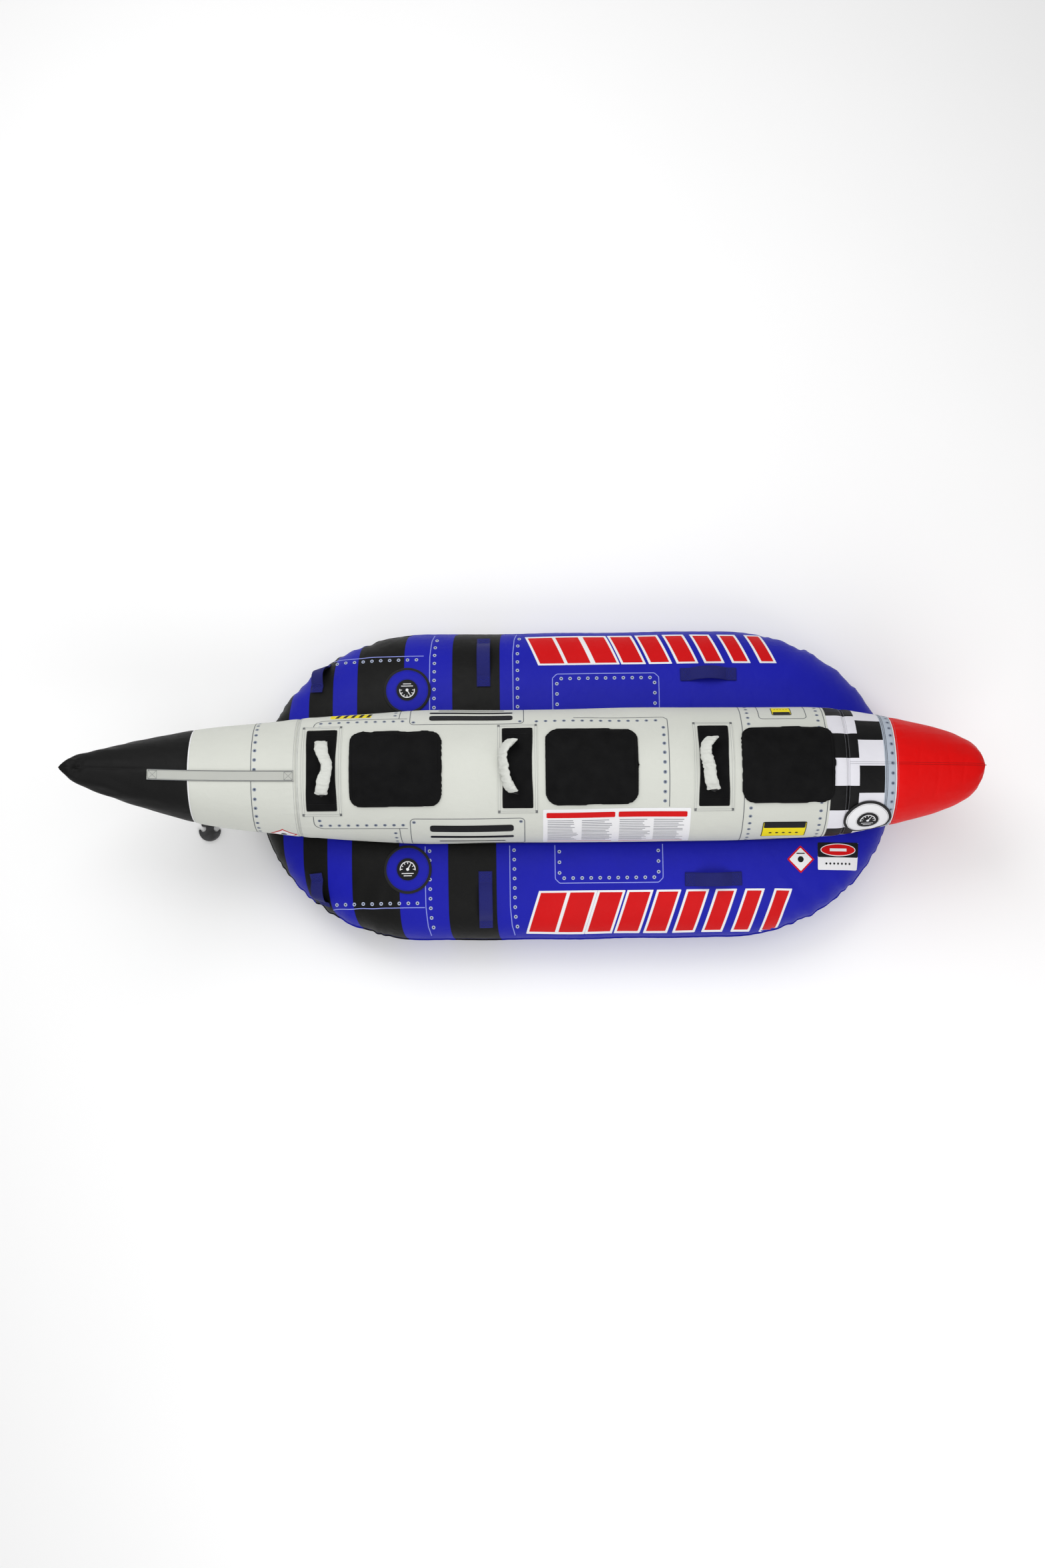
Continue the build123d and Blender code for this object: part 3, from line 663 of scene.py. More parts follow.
def fill(batch, surface, outline, lift=INK_LIFT):
    """A printed area inside a convex outline."""
    outline = np.asarray(outline, float)
    centre = outline.mean(0)
    reach = np.linalg.norm(outline - centre, axis=1).max()
    shares = np.linspace(1, 0.01, max(int(reach / 0.008), 2) + 1)
    flat = centre + (outline - centre)[None] * shares[:, None, None]
    rows, columns = flat.shape[:2]
    faces = grid_faces(rows, columns, True)
    faces.append(list(range((rows - 1) * columns, rows * columns))[::-1])
    batch.add(surface(flat[..., 0], flat[..., 1], lift), faces, flat)


def ring(batch, surface, centre, inner, outer):
    """A printed ring."""
    turns = np.linspace(0, 2 * pi, 15)[:, None]
    reach = np.array([[inner, outer]])
    u = centre[0] + reach * np.cos(turns)
    v = centre[1] + reach * np.sin(turns)
    batch.grid(surface(u, v, INK_LIFT), np.stack([u, v], -1))


def evenly(points, pitch):
    """Places along a line, pitch apart, starting and ending half a pitch in."""
    line, along = resample(points, 0.002)
    count = max(int(round(along[-1] / pitch)), 1)
    wanted = (np.arange(count) + 0.5) * along[-1] / count
    return np.stack([np.interp(wanted, along, line[:, k]) for k in (0, 1)], 1)


def sewn(name, material, slot, surface, lines, lift=0.0002, body="tube"):
    """Runs of thread that become one object."""
    thread = Batch()
    for line in lines:
        stitches(thread, surface, line, lift)
    thread.show(name, material, slot, body=body)


def stitches(batch, surface, points, lift=0.0003, pitch=0.0045, length=0.0034, width=0.0010):
    """A run of thread: one small raised bar for each stitch."""
    line, along = resample(points, 0.002)
    count = max(int(along[-1] / pitch), 1)
    wanted = (np.arange(count) + 0.5) * along[-1] / count
    centre = np.stack([np.interp(wanted, along, line[:, k]) for k in (0, 1)], 1)
    ahead = np.stack([np.interp(wanted, along, np.gradient(line[:, k])) for k in (0, 1)], 1)
    ahead = ahead / np.maximum(np.linalg.norm(ahead, axis=1, keepdims=True), 1e-9)
    left = np.stack([-ahead[:, 1], ahead[:, 0]], 1)
    corners = ((-0.5, -0.5, 0), (0.5, -0.5, 0), (0.5, 0.5, 0), (-0.5, 0.5, 0), (-0.3, 0, 1), (0.3, 0, 1))
    flat = [centre + ahead * (a * length) + left * (b * width) for a, b, _ in corners]
    flat = np.stack(flat, 1)
    lifts = lift + np.array([0.0007 * c for _, _, c in corners])[None, :]
    pattern = ((0, 1, 5, 4), (1, 2, 5), (2, 3, 4, 5), (3, 0, 4), (3, 2, 1, 0))
    faces = [[6 * n + k for k in face] for n in range(count) for face in pattern]
    batch.add(surface(flat[..., 0], flat[..., 1], lifts), faces, flat)


def slab(surface, outline, bottom, top, edge, crown=0.0, relief=None):
    """A closed sheet on a surface: a rounded rim, a crowned face, and a flat underside."""
    outline = np.asarray(outline, float)
    centre = outline.mean(0)
    reach = np.linalg.norm(outline - centre, axis=1).min()
    under = [(share, bottom) for share in np.linspace(0.02, 1 - edge / reach, 8)]
    rim = []
    for i in range(9):
        turn = -pi / 2 + pi * i / 8
        rise = (bottom + top) / 2 + (top - bottom) / 2 * sin(turn)
        rim.append((1 - edge / reach * (1 - cos(turn)), rise))
    inner = np.linspace(1 - edge / reach, 0.01, max(int(reach / 0.006), 6))[1:]
    over = [(share, top) for share in inner]
    rows = under[:-1] + rim + over
    shares = np.array([row[0] for row in rows])
    lifts = np.array([row[1] for row in rows])[:, None]
    faced = (np.arange(len(rows)) >= len(under) + 5)[:, None]
    flat = centre + (outline - centre)[None] * shares[:, None, None]
    lifts = lifts + faced * crown * (1 - shares[:, None] ** 2)
    lifts = np.broadcast_to(lifts, flat.shape[:2]).copy()
    if relief is not None:
        lifts = lifts + faced * relief(flat[..., 0], flat[..., 1], (1 - shares[:, None]) * reach)
    count = len(outline)
    faces = capped_faces(len(rows), count)
    return surface(flat[..., 0], flat[..., 1], lifts).reshape(-1, 3), faces, flat.reshape(-1, 2)


def laid(name, material, *slab_arguments, **slab_options):
    """A slab made into an object."""
    verts, faces, uvs = slab(*slab_arguments, **slab_options)
    return recalc_normals(new_object(name, verts, faces, uvs, material))


class Strap:
    """Webbing along a line of 3-D points, with the flat side facing along the normals given."""

    def __init__(self, route, normals, width, thickness=0.0025):
        route = np.asarray(route, float)
        normals = np.broadcast_to(np.asarray(normals, float), route.shape)
        packed, _ = resample(np.concatenate([route, normals], 1), 0.006)
        self.line = packed[:, :3]
        gaps = np.linalg.norm(np.diff(self.line, axis=0), axis=1)
        self.along = np.concatenate([[0], np.cumsum(gaps)])
        ahead = np.gradient(self.line, axis=0)
        self.across = np.cross(packed[:, 3:], ahead)
        self.across /= np.linalg.norm(self.across, axis=1, keepdims=True)
        self.normal = np.cross(ahead, self.across)
        self.normal /= np.linalg.norm(self.normal, axis=1, keepdims=True)
        self.length = self.along[-1]
        shares = np.linspace(0, 1, np.size(width))
        self.width = np.interp(np.linspace(0, 1, len(self.line)), shares, np.ravel(width))
        self.thickness = thickness

    def read(self, values, u):
        u = np.asarray(u, float)
        return np.stack([np.interp(u, self.along, values[:, k]) for k in range(3)], -1)

    def surface(self, u, v, lift=0.0):
        """Points on the upper face: u along the webbing and v across it."""
        u, v, lift = np.broadcast_arrays(u, v, lift)
        rise = lift + self.thickness / 2
        flat = self.read(self.line, u) + self.read(self.across, u) * v[..., None]
        return flat + self.read(self.normal, u) * rise[..., None]

    def mesh(self, batch):
        shares = np.linspace(-1, 1, 11)
        half = self.thickness / 2 * (1 - 0.45 * np.abs(shares) ** 10)
        offsets = np.concatenate([shares, shares[::-1]])
        rises = np.concatenate([half, -half[::-1]])
        side = self.width[:, None] / 2 * offsets[None, :]
        points = self.line[:, None] + self.across[:, None] * side[..., None]
        points = points + self.normal[:, None] * rises[None, :, None]
        rows, columns = points.shape[:2]
        faces = capped_faces(rows, columns)
        batch.add(points, faces, paired(self.along, side))
        return self

    def box_stitching(self, batch, start, end, crossed=True, inset=0.006):
        """Thread in a box, with a cross in it, on one stretch of the webbing."""
        half = np.interp((start + end) / 2, self.along, self.width) / 2 - inset
        corners = [(start, -half), (end, -half), (end, half), (start, half)]
        sides = [(corners[i], corners[(i + 1) % 4]) for i in range(4)]
        if crossed:
            sides += [(corners[0], corners[2]), (corners[1], corners[3])]
        for side in sides:
            stitches(batch, self.surface, side, 0.0001)


def add_remesh(piece, voxel):
    remesh = piece.modifiers.new("remesh", "REMESH")
    remesh.mode = "VOXEL"
    remesh.voxel_size = voxel


SIMULATION_FRAMES = 20


def simulated(piece, pinned, cap, pressure=4.0, voxel=0.005, shrink=0.0, keep_out=None, rounds=0):
    """Padded fabric: a remeshed copy swells under pressure, with each point's travel capped."""
    piece.data.transform(piece.matrix_world)
    piece.matrix_world = Matrix.Identity(4)
    add_remesh(piece, voxel)
    apply_modifiers(piece)
    before = coordinates(piece)
    group = piece.vertex_groups.new(name="held")
    group.add([int(i) for i in np.flatnonzero(pinned(before))], 1.0, "REPLACE")
    cloth = piece.modifiers.new("cloth", "CLOTH")
    cloth.settings.use_pressure = True
    cloth.settings.uniform_pressure_force = pressure
    cloth.settings.vertex_group_mass = "held"
    cloth.settings.shrink_min = shrink
    cloth.settings.effector_weights.gravity = 0
    for number in range(1, SIMULATION_FRAMES + 1):
        bpy.context.scene.frame_set(number)
    apply_modifiers(piece)
    after = coordinates(piece)
    moved = after - before
    travel = np.linalg.norm(moved, axis=1, keepdims=True)
    after = before + moved * np.minimum(1, cap / np.maximum(travel, 1e-9))
    if keep_out is not None:
        after = keep_out(after)
    set_coordinates(piece, after)
    bpy.context.scene.frame_set(1)
    if rounds:
        calm = piece.modifiers.new("smooth", "SMOOTH")
        calm.factor = 0.5
        calm.iterations = rounds
    smoother = piece.modifiers.new("subdivide", "SUBSURF")
    smoother.levels = smoother.render_levels = 1
    apply_modifiers(piece)
    piece.data.shade_smooth()
    return piece


def apply_modifiers(piece):
    evaluated = piece.evaluated_get(bpy.context.evaluated_depsgraph_get())
    mesh = bpy.data.meshes.new_from_object(evaluated)
    materials = list(piece.data.materials)
    piece.modifiers.clear()
    piece.data = mesh
    piece.data.materials.clear()
    for material in materials:
        piece.data.materials.append(material)


def coordinates(piece):
    flat = np.empty(len(piece.data.vertices) * 3, np.float64)
    piece.data.vertices.foreach_get("co", flat)
    return flat.reshape(-1, 3)


def set_coordinates(piece, points):
    piece.data.vertices.foreach_set("co", np.asarray(points, np.float64).ravel())
    piece.data.update()


# -------- covers and bladders
def holed(points, faces, valve_name):
    """The faces that stay when a round hole is cut for the valve."""
    centres = points.reshape(-1, 3)[np.array(faces)].mean(1)
    keep = np.linalg.norm(centres - np.array(VALVE_PLACES[valve_name]), axis=1) > HOLE_RADIUS
    return [face for face, kept in zip(faces, keep) if kept]


def valve_place(prefix):
    low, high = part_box(prefix + "_valve_cap")
    return (low + high) / 2


HOLE_RADIUS = 0.033
HULL_COLUMNS = 264
COVER_STEP, COVER_COLUMNS = 0.0062, 196
BLADDER_STEP, BLADDER_COLUMNS, BLADDER_GAP = 0.016, 90, 0.012
VALVE_PLACES = {name: valve_place(name) for name in ("left", "right", "centre")}


def fuselage_cover(name, low, high, material, slot, closed_low=False, closed_high=False):
    step = 0.0055 if closed_low or closed_high else 0.0065
    xs = np.linspace(low, high, int((high - low) / step) + 1)
    lifts = np.zeros_like(xs)
    tuck = np.array([-0.006, -0.0015])
    if not closed_low:
        xs = np.concatenate([[low, low], [low + 0.0008], xs[1:]])
        lifts = np.concatenate([tuck, [0.0], lifts[1:]])
    if not closed_high:
        xs = np.concatenate([xs[:-1], [high - 0.0008], [high, high]])
        lifts = np.concatenate([lifts[:-1], [0.0], tuck[::-1]])
    around = HULL_COLUMNS
    shares = np.linspace(-pi, pi, around, endpoint=False)
    s = shares[None, :] * fuselage_radius(xs)[:, None]
    points = hull(xs[:, None], s, lifts[:, None])
    faces = holed(points, grid_faces(len(xs), around, True), "centre")
    if closed_low:
        faces.append(list(range(around))[::-1])
    if closed_high:
        faces.append([(len(xs) - 1) * around + i for i in range(around)])
    uvs = paired(xs, s).reshape(-1, 2)
    cover = new_object(name + "_fabric", points.reshape(-1, 3), faces, uvs, material)
    return show(recalc_normals(cover), "tube", slot, name)


def centre_bladder():
    low, high = BOW_TIP_X + 0.06, STERN_TIP_X - 0.06
    rows, around = 260, 96
    xs = np.linspace(low, high, rows)
    turns = np.linspace(-pi, pi, around, endpoint=False)
    end = np.minimum(xs - low, high - xs)
    shrink = 0.009 + 0.012 * np.exp(-end / 0.02)
    reach = (fuselage_radius(xs) - shrink)[:, None]
    y, z = reach * np.sin(turns), fuselage_axis(xs)[:, None] + reach * np.cos(turns)
    points = np.stack([np.broadcast_to(xs[:, None], y.shape), y, z], -1)
    faces = capped_faces(rows, around)
    faces = holed(points, faces[:-2], "centre") + faces[-2:]
    bladder = new_object("centre_air_bladder", points.reshape(-1, 3), faces, None, MATERIALS["pvc"])
    show(recalc_normals(bladder), "tube", "bladder_pvc", "centre_bladder")


def pontoon_rows(step, end_sweep=END_SWEEP):
    straight = PONTOON_STERN_X - PONTOON_BOW_X
    sweep = np.linspace(0, end_sweep, int(1.0 / step))[1:]
    bow = PONTOON_BOW_X - PONTOON_END_LENGTH * np.sin(sweep)[::-1]
    stern = PONTOON_STERN_X + PONTOON_END_LENGTH * np.sin(sweep)
    return np.concatenate([bow, PONTOON_BOW_X + straight * np.linspace(0, 1, int(straight / step)), stern])


def pontoon_shell(side, step, around, lift, end_sweep=END_SWEEP):
    xs = pontoon_rows(step, end_sweep)
    even = np.linspace(-pi, pi, around, endpoint=False)
    turns = even - 0.28 * np.sin(even)
    points = pontoon(side, xs[:, None], turns[None, :], lift)
    # Each end closes to a small dimple, where the cover's panels meet.
    ends = []
    for section in (points[0], points[-1]):
        middle = section.mean(0)
        ends.append([middle + (section - middle) * share for share in (0.1, 0.6)])
    points = np.concatenate([ends[0], points, ends[1][::-1]])
    xs = np.concatenate([xs[[0, 0]], xs, xs[[-1, -1]]])
    rows = len(xs)
    faces = capped_faces(rows, around)
    faces = holed(points, faces[:-2], "right" if side > 0 else "left") + faces[-2:]
    # The cloth's own lengths: along the crown, and round each section.
    crown = points[:, around * 3 // 4]
    along = np.concatenate([[0], np.cumsum(np.linalg.norm(np.diff(crown, axis=0), axis=1))])
    size = np.linalg.norm(points - points.mean(1, keepdims=True), axis=2).mean(1)
    arc = turns[None, :] * size[:, None]
    return points.reshape(-1, 3), faces, paired(along, arc).reshape(-1, 2)


def pontoons():
    for side, name in SIDES:
        shell = pontoon_shell(side, COVER_STEP, COVER_COLUMNS, 0.0)
        cover = new_object(name + "_pontoon_fabric", *shell, MATERIALS[name])
        show(recalc_normals(cover), "tube", "blue_nylon", name + "_pontoon_cover")
        shell = pontoon_shell(side, BLADDER_STEP, BLADDER_COLUMNS, -BLADDER_GAP, BLADDER_SWEEP)
        inner = new_object(name + "_air_bladder", *shell, MATERIALS["pvc"])
        show(recalc_normals(inner), "tube", "bladder_pvc", name + "_bladder")
        welt = Batch()
        xs = pontoon_rows(COVER_STEP)
        middle, half_width, _ = pontoon_section(xs)
        xs = xs[middle + half_width > 0.156]
        Strap(pontoon(side, xs, 0.0, 0.0034), (0, 0, 1), 0.008, 0.0030).mesh(welt)
        welt.show(name + "_seam_piping", name, "blue_nylon", name + "_seam_welt")

        def beside_seam(u, v, lift):
            return pontoon(side, u, v / PONTOON_HALF_HEIGHT, lift)

        lines = [np.stack([xs, np.full(len(xs), height)], 1) for height in (-0.007, 0.007)]
        sewn(name + "_seam_thread", "blue_thread", "blue_nylon", beside_seam, lines)


def covers():
    for name, low, high, material, slot in (
        ("bow_cone_cover", BOW_TIP_X, BOW_SEAM_X, "bow", "bow_nylon"),
        ("forward_cover", BOW_SEAM_X, FORWARD_SEAM_X, "grey", "grey_nylon"),
        ("body_cover", FORWARD_SEAM_X, CHECKER_SEAM_X, "checks", "grey_nylon"),
        ("checker_cover", CHECKER_SEAM_X, STERN_SEAM_X, "checks", "checker_nylon"),
        ("stern_cone_cover", STERN_SEAM_X, STERN_TIP_X, "red", "red_nylon"),
    ):
        fuselage_cover(name, low, high, MATERIALS[material], slot, low == BOW_TIP_X, high == STERN_TIP_X)
    centre_bladder()
    pontoons()


# -------- seams of the fuselage
def ring_line(x):
    s = np.linspace(-pi, pi, 160) * fuselage_radius(x)
    return np.stack([np.full(len(s), x), s], 1)


def fuselage_seams():
    rings = []
    for x, offsets in (
        (FORWARD_SEAM_X, (-0.006, 0.004, 0.009)),
        (CHECKER_SEAM_X, (-0.007, 0.004)),
        (STERN_SEAM_X, (-0.006, 0.005)),
    ):
        rings += [ring_line(x + offset) for offset in offsets]
    sewn("fuselage_seam_thread", "grey_ink", "grey_nylon", hull, rings)
    edge = Batch()
    for x in (BOW_SEAM_X + 0.003, STERN_SEAM_X - 0.003):
        ribbon(edge, hull, ring_line(x), 0.004)
    edge.show("cover_edge_trim", "white_ink", "grey_nylon")
    # Twin rows of thread along the crown.
    checker = (CHECKER_SEAM_X + 0.004, STERN_SEAM_X + 0.00732)
    for name, material, slot, half_gap, low, high in (
        ("stern_crown_thread", "grey_ink", "grey_nylon", 0.0035, *checker),
        ("stern_cone_thread", "red_thread", "red_nylon", 0.0035, STERN_SEAM_X + 0.006, 1.632),
        ("bow_crown_thread", "black_thread", "bow_nylon", 0.004, -1.562, -1.362),
    ):
        sewn(name, material, slot, hull, [[(low, s), (high, s)] for s in (-half_gap, half_gap)])


# -------- printed graphics
class Print:
    """Printed shapes on one surface. Each ink's shapes become one object; a higher layer covers a lower."""

    def __init__(self, surface, lift=0.0):
        self.surface = surface
        self.lift = lift
        self.batches = {}

    def batch(self, ink):
        return self.batches.setdefault(ink + "_ink", Batch())

    def area(self, ink, outline, layer=1.0):
        fill(self.batch(ink), self.surface, outline, self.lift + INK_LIFT * layer)

    def box(self, ink, centre, size, corner, layer=1.0):
        self.area(ink, outline_box(centre, size, corner), layer)

    def disc(self, ink, centre, radius, layer=2.2, count=24):
        self.area(ink, outline_disc(centre, radius, count), layer)

    def line(self, ink, points, width=0.0024, layer=1.0):
        ribbon(self.batch(ink), self.surface, points, width, self.lift + INK_LIFT * layer)

    def rivets(self, points, ink="rivet", pitch=0.034):
        rings, cores = self.batch(ink), self.batch("core")
        for place in evenly(points, pitch):
            ring(rings, self.surface, place, RIVET_RADIUS * 0.45, RIVET_RADIUS)
            fill(cores, self.surface, outline_disc(place, RIVET_RADIUS * 0.42, 10), INK_LIFT)

    def build(self, prefix, slot, body="tube"):
        for ink, batch in self.batches.items():
            batch.show(prefix + "_" + ink, ink, slot, body=body)


def dial(art, centre, up):
    """A plain gauge face: a dark disc, a white arc with ticks, and a needle."""

    def face(turn, reach):
        return centre[0] + reach * cos(turn), centre[1] + up * reach * sin(turn)

    art.disc("black", centre, 0.040, 0.0, 48)
    art.line("white", [face(a, 0.0275) for a in np.linspace(radians(-8), radians(188), 40)], 0.0032, 0.6)
    for k in range(7):
        turn = radians(k * 30)
        art.line("white", [face(turn, 0.019), face(turn, 0.026)], 0.0026, 0.6)
    art.line("white", [face(radians(60), 0.0), face(radians(60), 0.018)], 0.0034, 0.6)
    art.disc("white", centre, 0.0055, 0.8)
    for half, drop in ((0.022, -0.015), (0.015, -0.023)):
        v = centre[1] + up * drop
        art.line("white", [(centre[0] - half, v), (centre[0] + half, v)], 0.0028, 0.6)


def fine_print(art, x_low, x_high, s_top, s_bottom, lines, seed):
    """Rows of short grey bars, standing for fine print."""
    draw = np.random.RandomState(seed)
    for k in range(lines):
        s = s_top + (s_bottom - s_top) * (k + 0.5) / lines
        end = x_low + (x_high - x_low) * draw.uniform(0.72, 1.0)
        art.line("grey", [(x_low, s), (end, s)], 0.0034, 1.7)


def polygon(points, step=0.006):
    return resample(closed(np.asarray(points, float)), step)[0][:-1]


def diamond(art, centre, half):
    """A white diamond with a red edge, and a dot and a bar in it."""
    u, v = centre
    for ink, reach, layer in (("red", half, 1.0), ("white", half * 0.84, 1.6)):
        art.area(ink, polygon([(u + reach, v), (u, v + reach), (u - reach, v), (u, v - reach)]), layer)
    art.disc("black", centre, half * 0.22)
    bar = v - half * 0.42
    art.line("black", [(u - half * 0.3, bar), (u + half * 0.3, bar)], 0.004, 2.2)


def yellow_label(art, x_low, x_high, s_near, s_far):
    """A yellow plate with a black top band and a row of dots."""
    middle, width = (x_low + x_high) / 2, x_high - x_low
    reach, height = s_far - s_near, abs(s_far - s_near)
    centre = (middle, (s_near + s_far) / 2)
    art.box("black", centre, (width, height), 0.006)
    art.box("yellow", centre, (width - 0.006, height - 0.006), 0.004, 1.6)
    art.box("black", (middle, s_near + reach / 6), (width - 0.010, height / 3), 0.003, 2.2)
    for k in range(5):
        place = (middle + width * 0.15 * (k - 2), s_near + reach * 0.67)
        art.disc("black", place, width * 0.035, count=20)


def panel(art, centre, size, corner):
    art.line("panel", closed(outline_box(centre, size, corner)))


def all_round(x, around_x):
    """A line round the fuselage at x, as long as its girth at around_x."""
    reach = pi * fuselage_radius(around_x)
    return [(x, -reach), (x, reach)]


def fuselage_graphics():
    art = Print(hull)
    for x, rivet_x in ((-0.988, -0.976), (0.760, 0.785), (1.058, 1.036)):
        art.line("panel", all_round(x, x))
        art.rivets(all_round(rivet_x, x), pitch=0.036)
    art.rivets(all_round(1.290, 1.284), pitch=0.036)
    for x in (1.266, 1.271):
        art.line("panel", all_round(x, 1.284), 0.0018)

    # The cockpit panel of the first seat, and its rivets.
    for top, mirror in ((-0.244, 1), (0.220, -1)):
        x, corner = -0.773, 0.035
        line = [(x, top + mirror * 0.20)]
        for a in np.linspace(0, pi / 2, 9):
            line.append((x + corner * (1 - cos(a)), top + mirror * corner * (1 - sin(a))))
        art.line("panel", line + [(-0.438, top)])
        art.rivets([(-0.765, top + mirror * 0.018), (-0.438, top + mirror * 0.018)])
        art.rivets([(-0.752, top + mirror * 0.036), (-0.752, top + mirror * 0.052)])
        low = top - mirror * 0.22
        art.line("panel", [(-0.468, top), (-0.460, low)])
        art.rivets([(-0.484, top - mirror * 0.012), (-0.478, low)])

    # Plain rounded plates amidships, each with three bars.
    for near, far in ((-0.196, -0.376), (0.180, 0.330)):
        x = -0.224
        panel(art, (x, (near + far) / 2), (0.409, abs(far - near)), 0.016)
        for share, length, width in ((0.27, 0.300, 0.036), (0.56, 0.300, 0.016), (0.78, 0.240, 0.008)):
            art.box("black", (x + 0.015, near + (far - near) * share), (length, width), width * 0.3)
        s = near + (far - near) * 0.09
        for x in (-0.415, -0.033):
            art.rivets([(x - 0.002, s), (x + 0.002, s)])

    # The second seat's panel: a line and rivets on its far side, and a cross line aft.
    art.line("panel", [(0.159, 0.209), (0.480, 0.209), (0.495, 0.196), (0.495, -0.155)])
    art.rivets([(0.010, 0.190), (0.470, 0.190)])
    art.rivets([(0.479, 0.168), (0.479, -0.150)])

    # The white information panel: red header bars and rows of fine print.
    art.box("white", (0.309, -0.266), (0.526, 0.212), 0.004)
    for low, high in ((0.058, 0.303), (0.315, 0.560)):
        art.box("red", ((low + high) / 2, -0.186), (high - low, 0.024), 0.002, 1.7)
        half = (high - low) / 2
        for k in range(2):
            start = low + 0.004 + k * half
            fine_print(art, start, start + half - 0.012, -0.206, -0.345, 15, 17 * k + int(low * 1000))
        art.line("red", [(low + 0.004, -0.356), (high - 0.01, -0.356)], 0.004, 1.7)

    # Small plates on the near and far flanks.
    yellow_label(art, 0.833, 0.992, -0.230, -0.340)
    yellow_label(art, 0.874, 0.946, 0.216, 0.290)
    panel(art, (0.911, 0.275), (0.170, 0.166), 0.014)
    art.box("yellow", (-0.644, 0.261), (0.148, 0.050), 0.004)
    for k in range(5):
        x = -0.700 + 0.028 * k
        slant = [(x, 0.240), (x + 0.012, 0.240), (x + 0.022, 0.282), (x + 0.010, 0.282)]
        art.area("black", polygon(slant), 1.7)
    diamond(art, (-0.891, -0.300), 0.050)
    art.build("fuselage_print", "grey_nylon")


# The slanted bars along each pontoon's outer shoulder: where they lie along x and across y.
BARS = {"right": ((0.0, 0.93), (0.432, 0.545)), "left": ((-0.008, 0.965), (0.424, 0.560))}
BAR_COUNT = 9
BAR_LEAN = 0.045


def pontoon_bars(art, name):
    """Slanted red bars with white edges, each narrower than the one before it."""
    (start, end), (low, high) = BARS[name]
    pitch = (end - start) / BAR_COUNT
    for k in range(BAR_COUNT):
        left = start + pitch * k
        width = pitch * (0.88 - 0.055 * k)
        for ink, grow, layer in (("white", 0.007, 1.0), ("red", 0.0, 1.7)):
            corners = [
                (left + BAR_LEAN - grow, low - grow),
                (left + BAR_LEAN + width + grow * 1.6, low - grow),
                (left + width + grow, high + grow),
                (left - grow * 1.6, high + grow),
            ]
            art.area(ink, polygon(corners, 0.004), layer)


def left_signs(art):
    """A diamond, and a white plate with an oval on its black half and a row of dots below."""
    diamond(art, (0.992, 0.312), 0.051)
    x, oval_y = 1.134, 0.277
    art.box("white", (x, 0.300), (0.155, 0.100), 0.003)
    art.box("black", (x, oval_y), (0.155, 0.054), 0.003, 1.7)
    turns = np.linspace(0, 2 * pi, 48, endpoint=False)
    for ink, grow, layer in (("white", 0.003, 2.4), ("red", 0.0, 3.0)):
        oval = np.stack([x + (0.064 + grow) * np.cos(turns), oval_y + (0.020 + grow) * np.sin(turns)], 1)
        art.area(ink, oval, layer)
    for k in range(7):
        art.disc("black", (1.089 + 0.015 * k, 0.327), 0.004, 1.7, 16)
    art.line("white", [(1.102, oval_y), (1.166, oval_y)], 0.010, 3.6)


def pontoon_graphics():
    for side, name in SIDES:
        art = Print(deck(side))
        shift = RIGHT_STRIPE_SHIFT if side > 0 else 0.0
        art.line("pale", [(-0.735, 0.470), (-0.390, 0.472)], 0.0030)
        art.rivets([(-0.735, 0.454), (-0.400, 0.456)], "eyelet")
        for x in (-0.386, -0.076):
            at = x + shift
            art.line("pale", [(at, 0.250), (at, 0.470), (at + 0.006, 0.540), (at + 0.016, 0.571)], 0.0030)
            art.rivets([(at + 0.016, 0.250), (at + 0.018, 0.500), (at + 0.028, 0.560)], "eyelet")
        hatch = [(0.090, 0.250), (0.090, 0.374), (0.106, 0.390), (0.469, 0.390), (0.485, 0.374)]
        art.line("pale", hatch + [(0.485, 0.250)], 0.0030)
        inside = [(0.106, 0.255), (0.106, 0.372), (0.469, 0.372), (0.469, 0.255)]
        for k in range(3):
            art.rivets(inside[k : k + 2], "eyelet")
        pontoon_bars(art, name)
        if side < 0:
            left_signs(art)
        art.build(name + "_pontoon_print", "blue_nylon")


# -------- shapes taken from the frame
def moulded_part(name, node, material, voxel, rounds, body, slot):
    """A copy of a CAD node with its edges rounded as moulding or casting leaves them."""
    piece = bpy.data.objects.new(name, NODES[node].data.copy())
    bpy.context.scene.collection.objects.link(piece)
    piece.data.materials.clear()
    piece.data.materials.append(MATERIALS[material])
    add_remesh(piece, voxel)
    smooth = piece.modifiers.new("smooth", "CORRECTIVE_SMOOTH")
    smooth.use_only_smooth = True
    smooth.iterations = rounds
    smooth.factor = 0.5
    apply_modifiers(piece)
    piece.data.shade_smooth()
    show(piece, body, slot, node)


# -------- valves
FLAP_RADIUS = 0.088


def flap_surface(surface, centre):
    """The flap's own surface: it drapes down to the skin at its rim."""

    def placed(u, v, lift=0.0):
        away = np.hypot(u - centre[0], v - centre[1])
        ripple = 0.0006 * np.sin(9 * np.arctan2(v - centre[1], u - centre[0])) * smoothstep(0.04, 0.088, away)
        return surface(u, v, lift + 0.0066 - 0.0030 * smoothstep(0.045, FLAP_RADIUS, away) + ripple)

    return placed


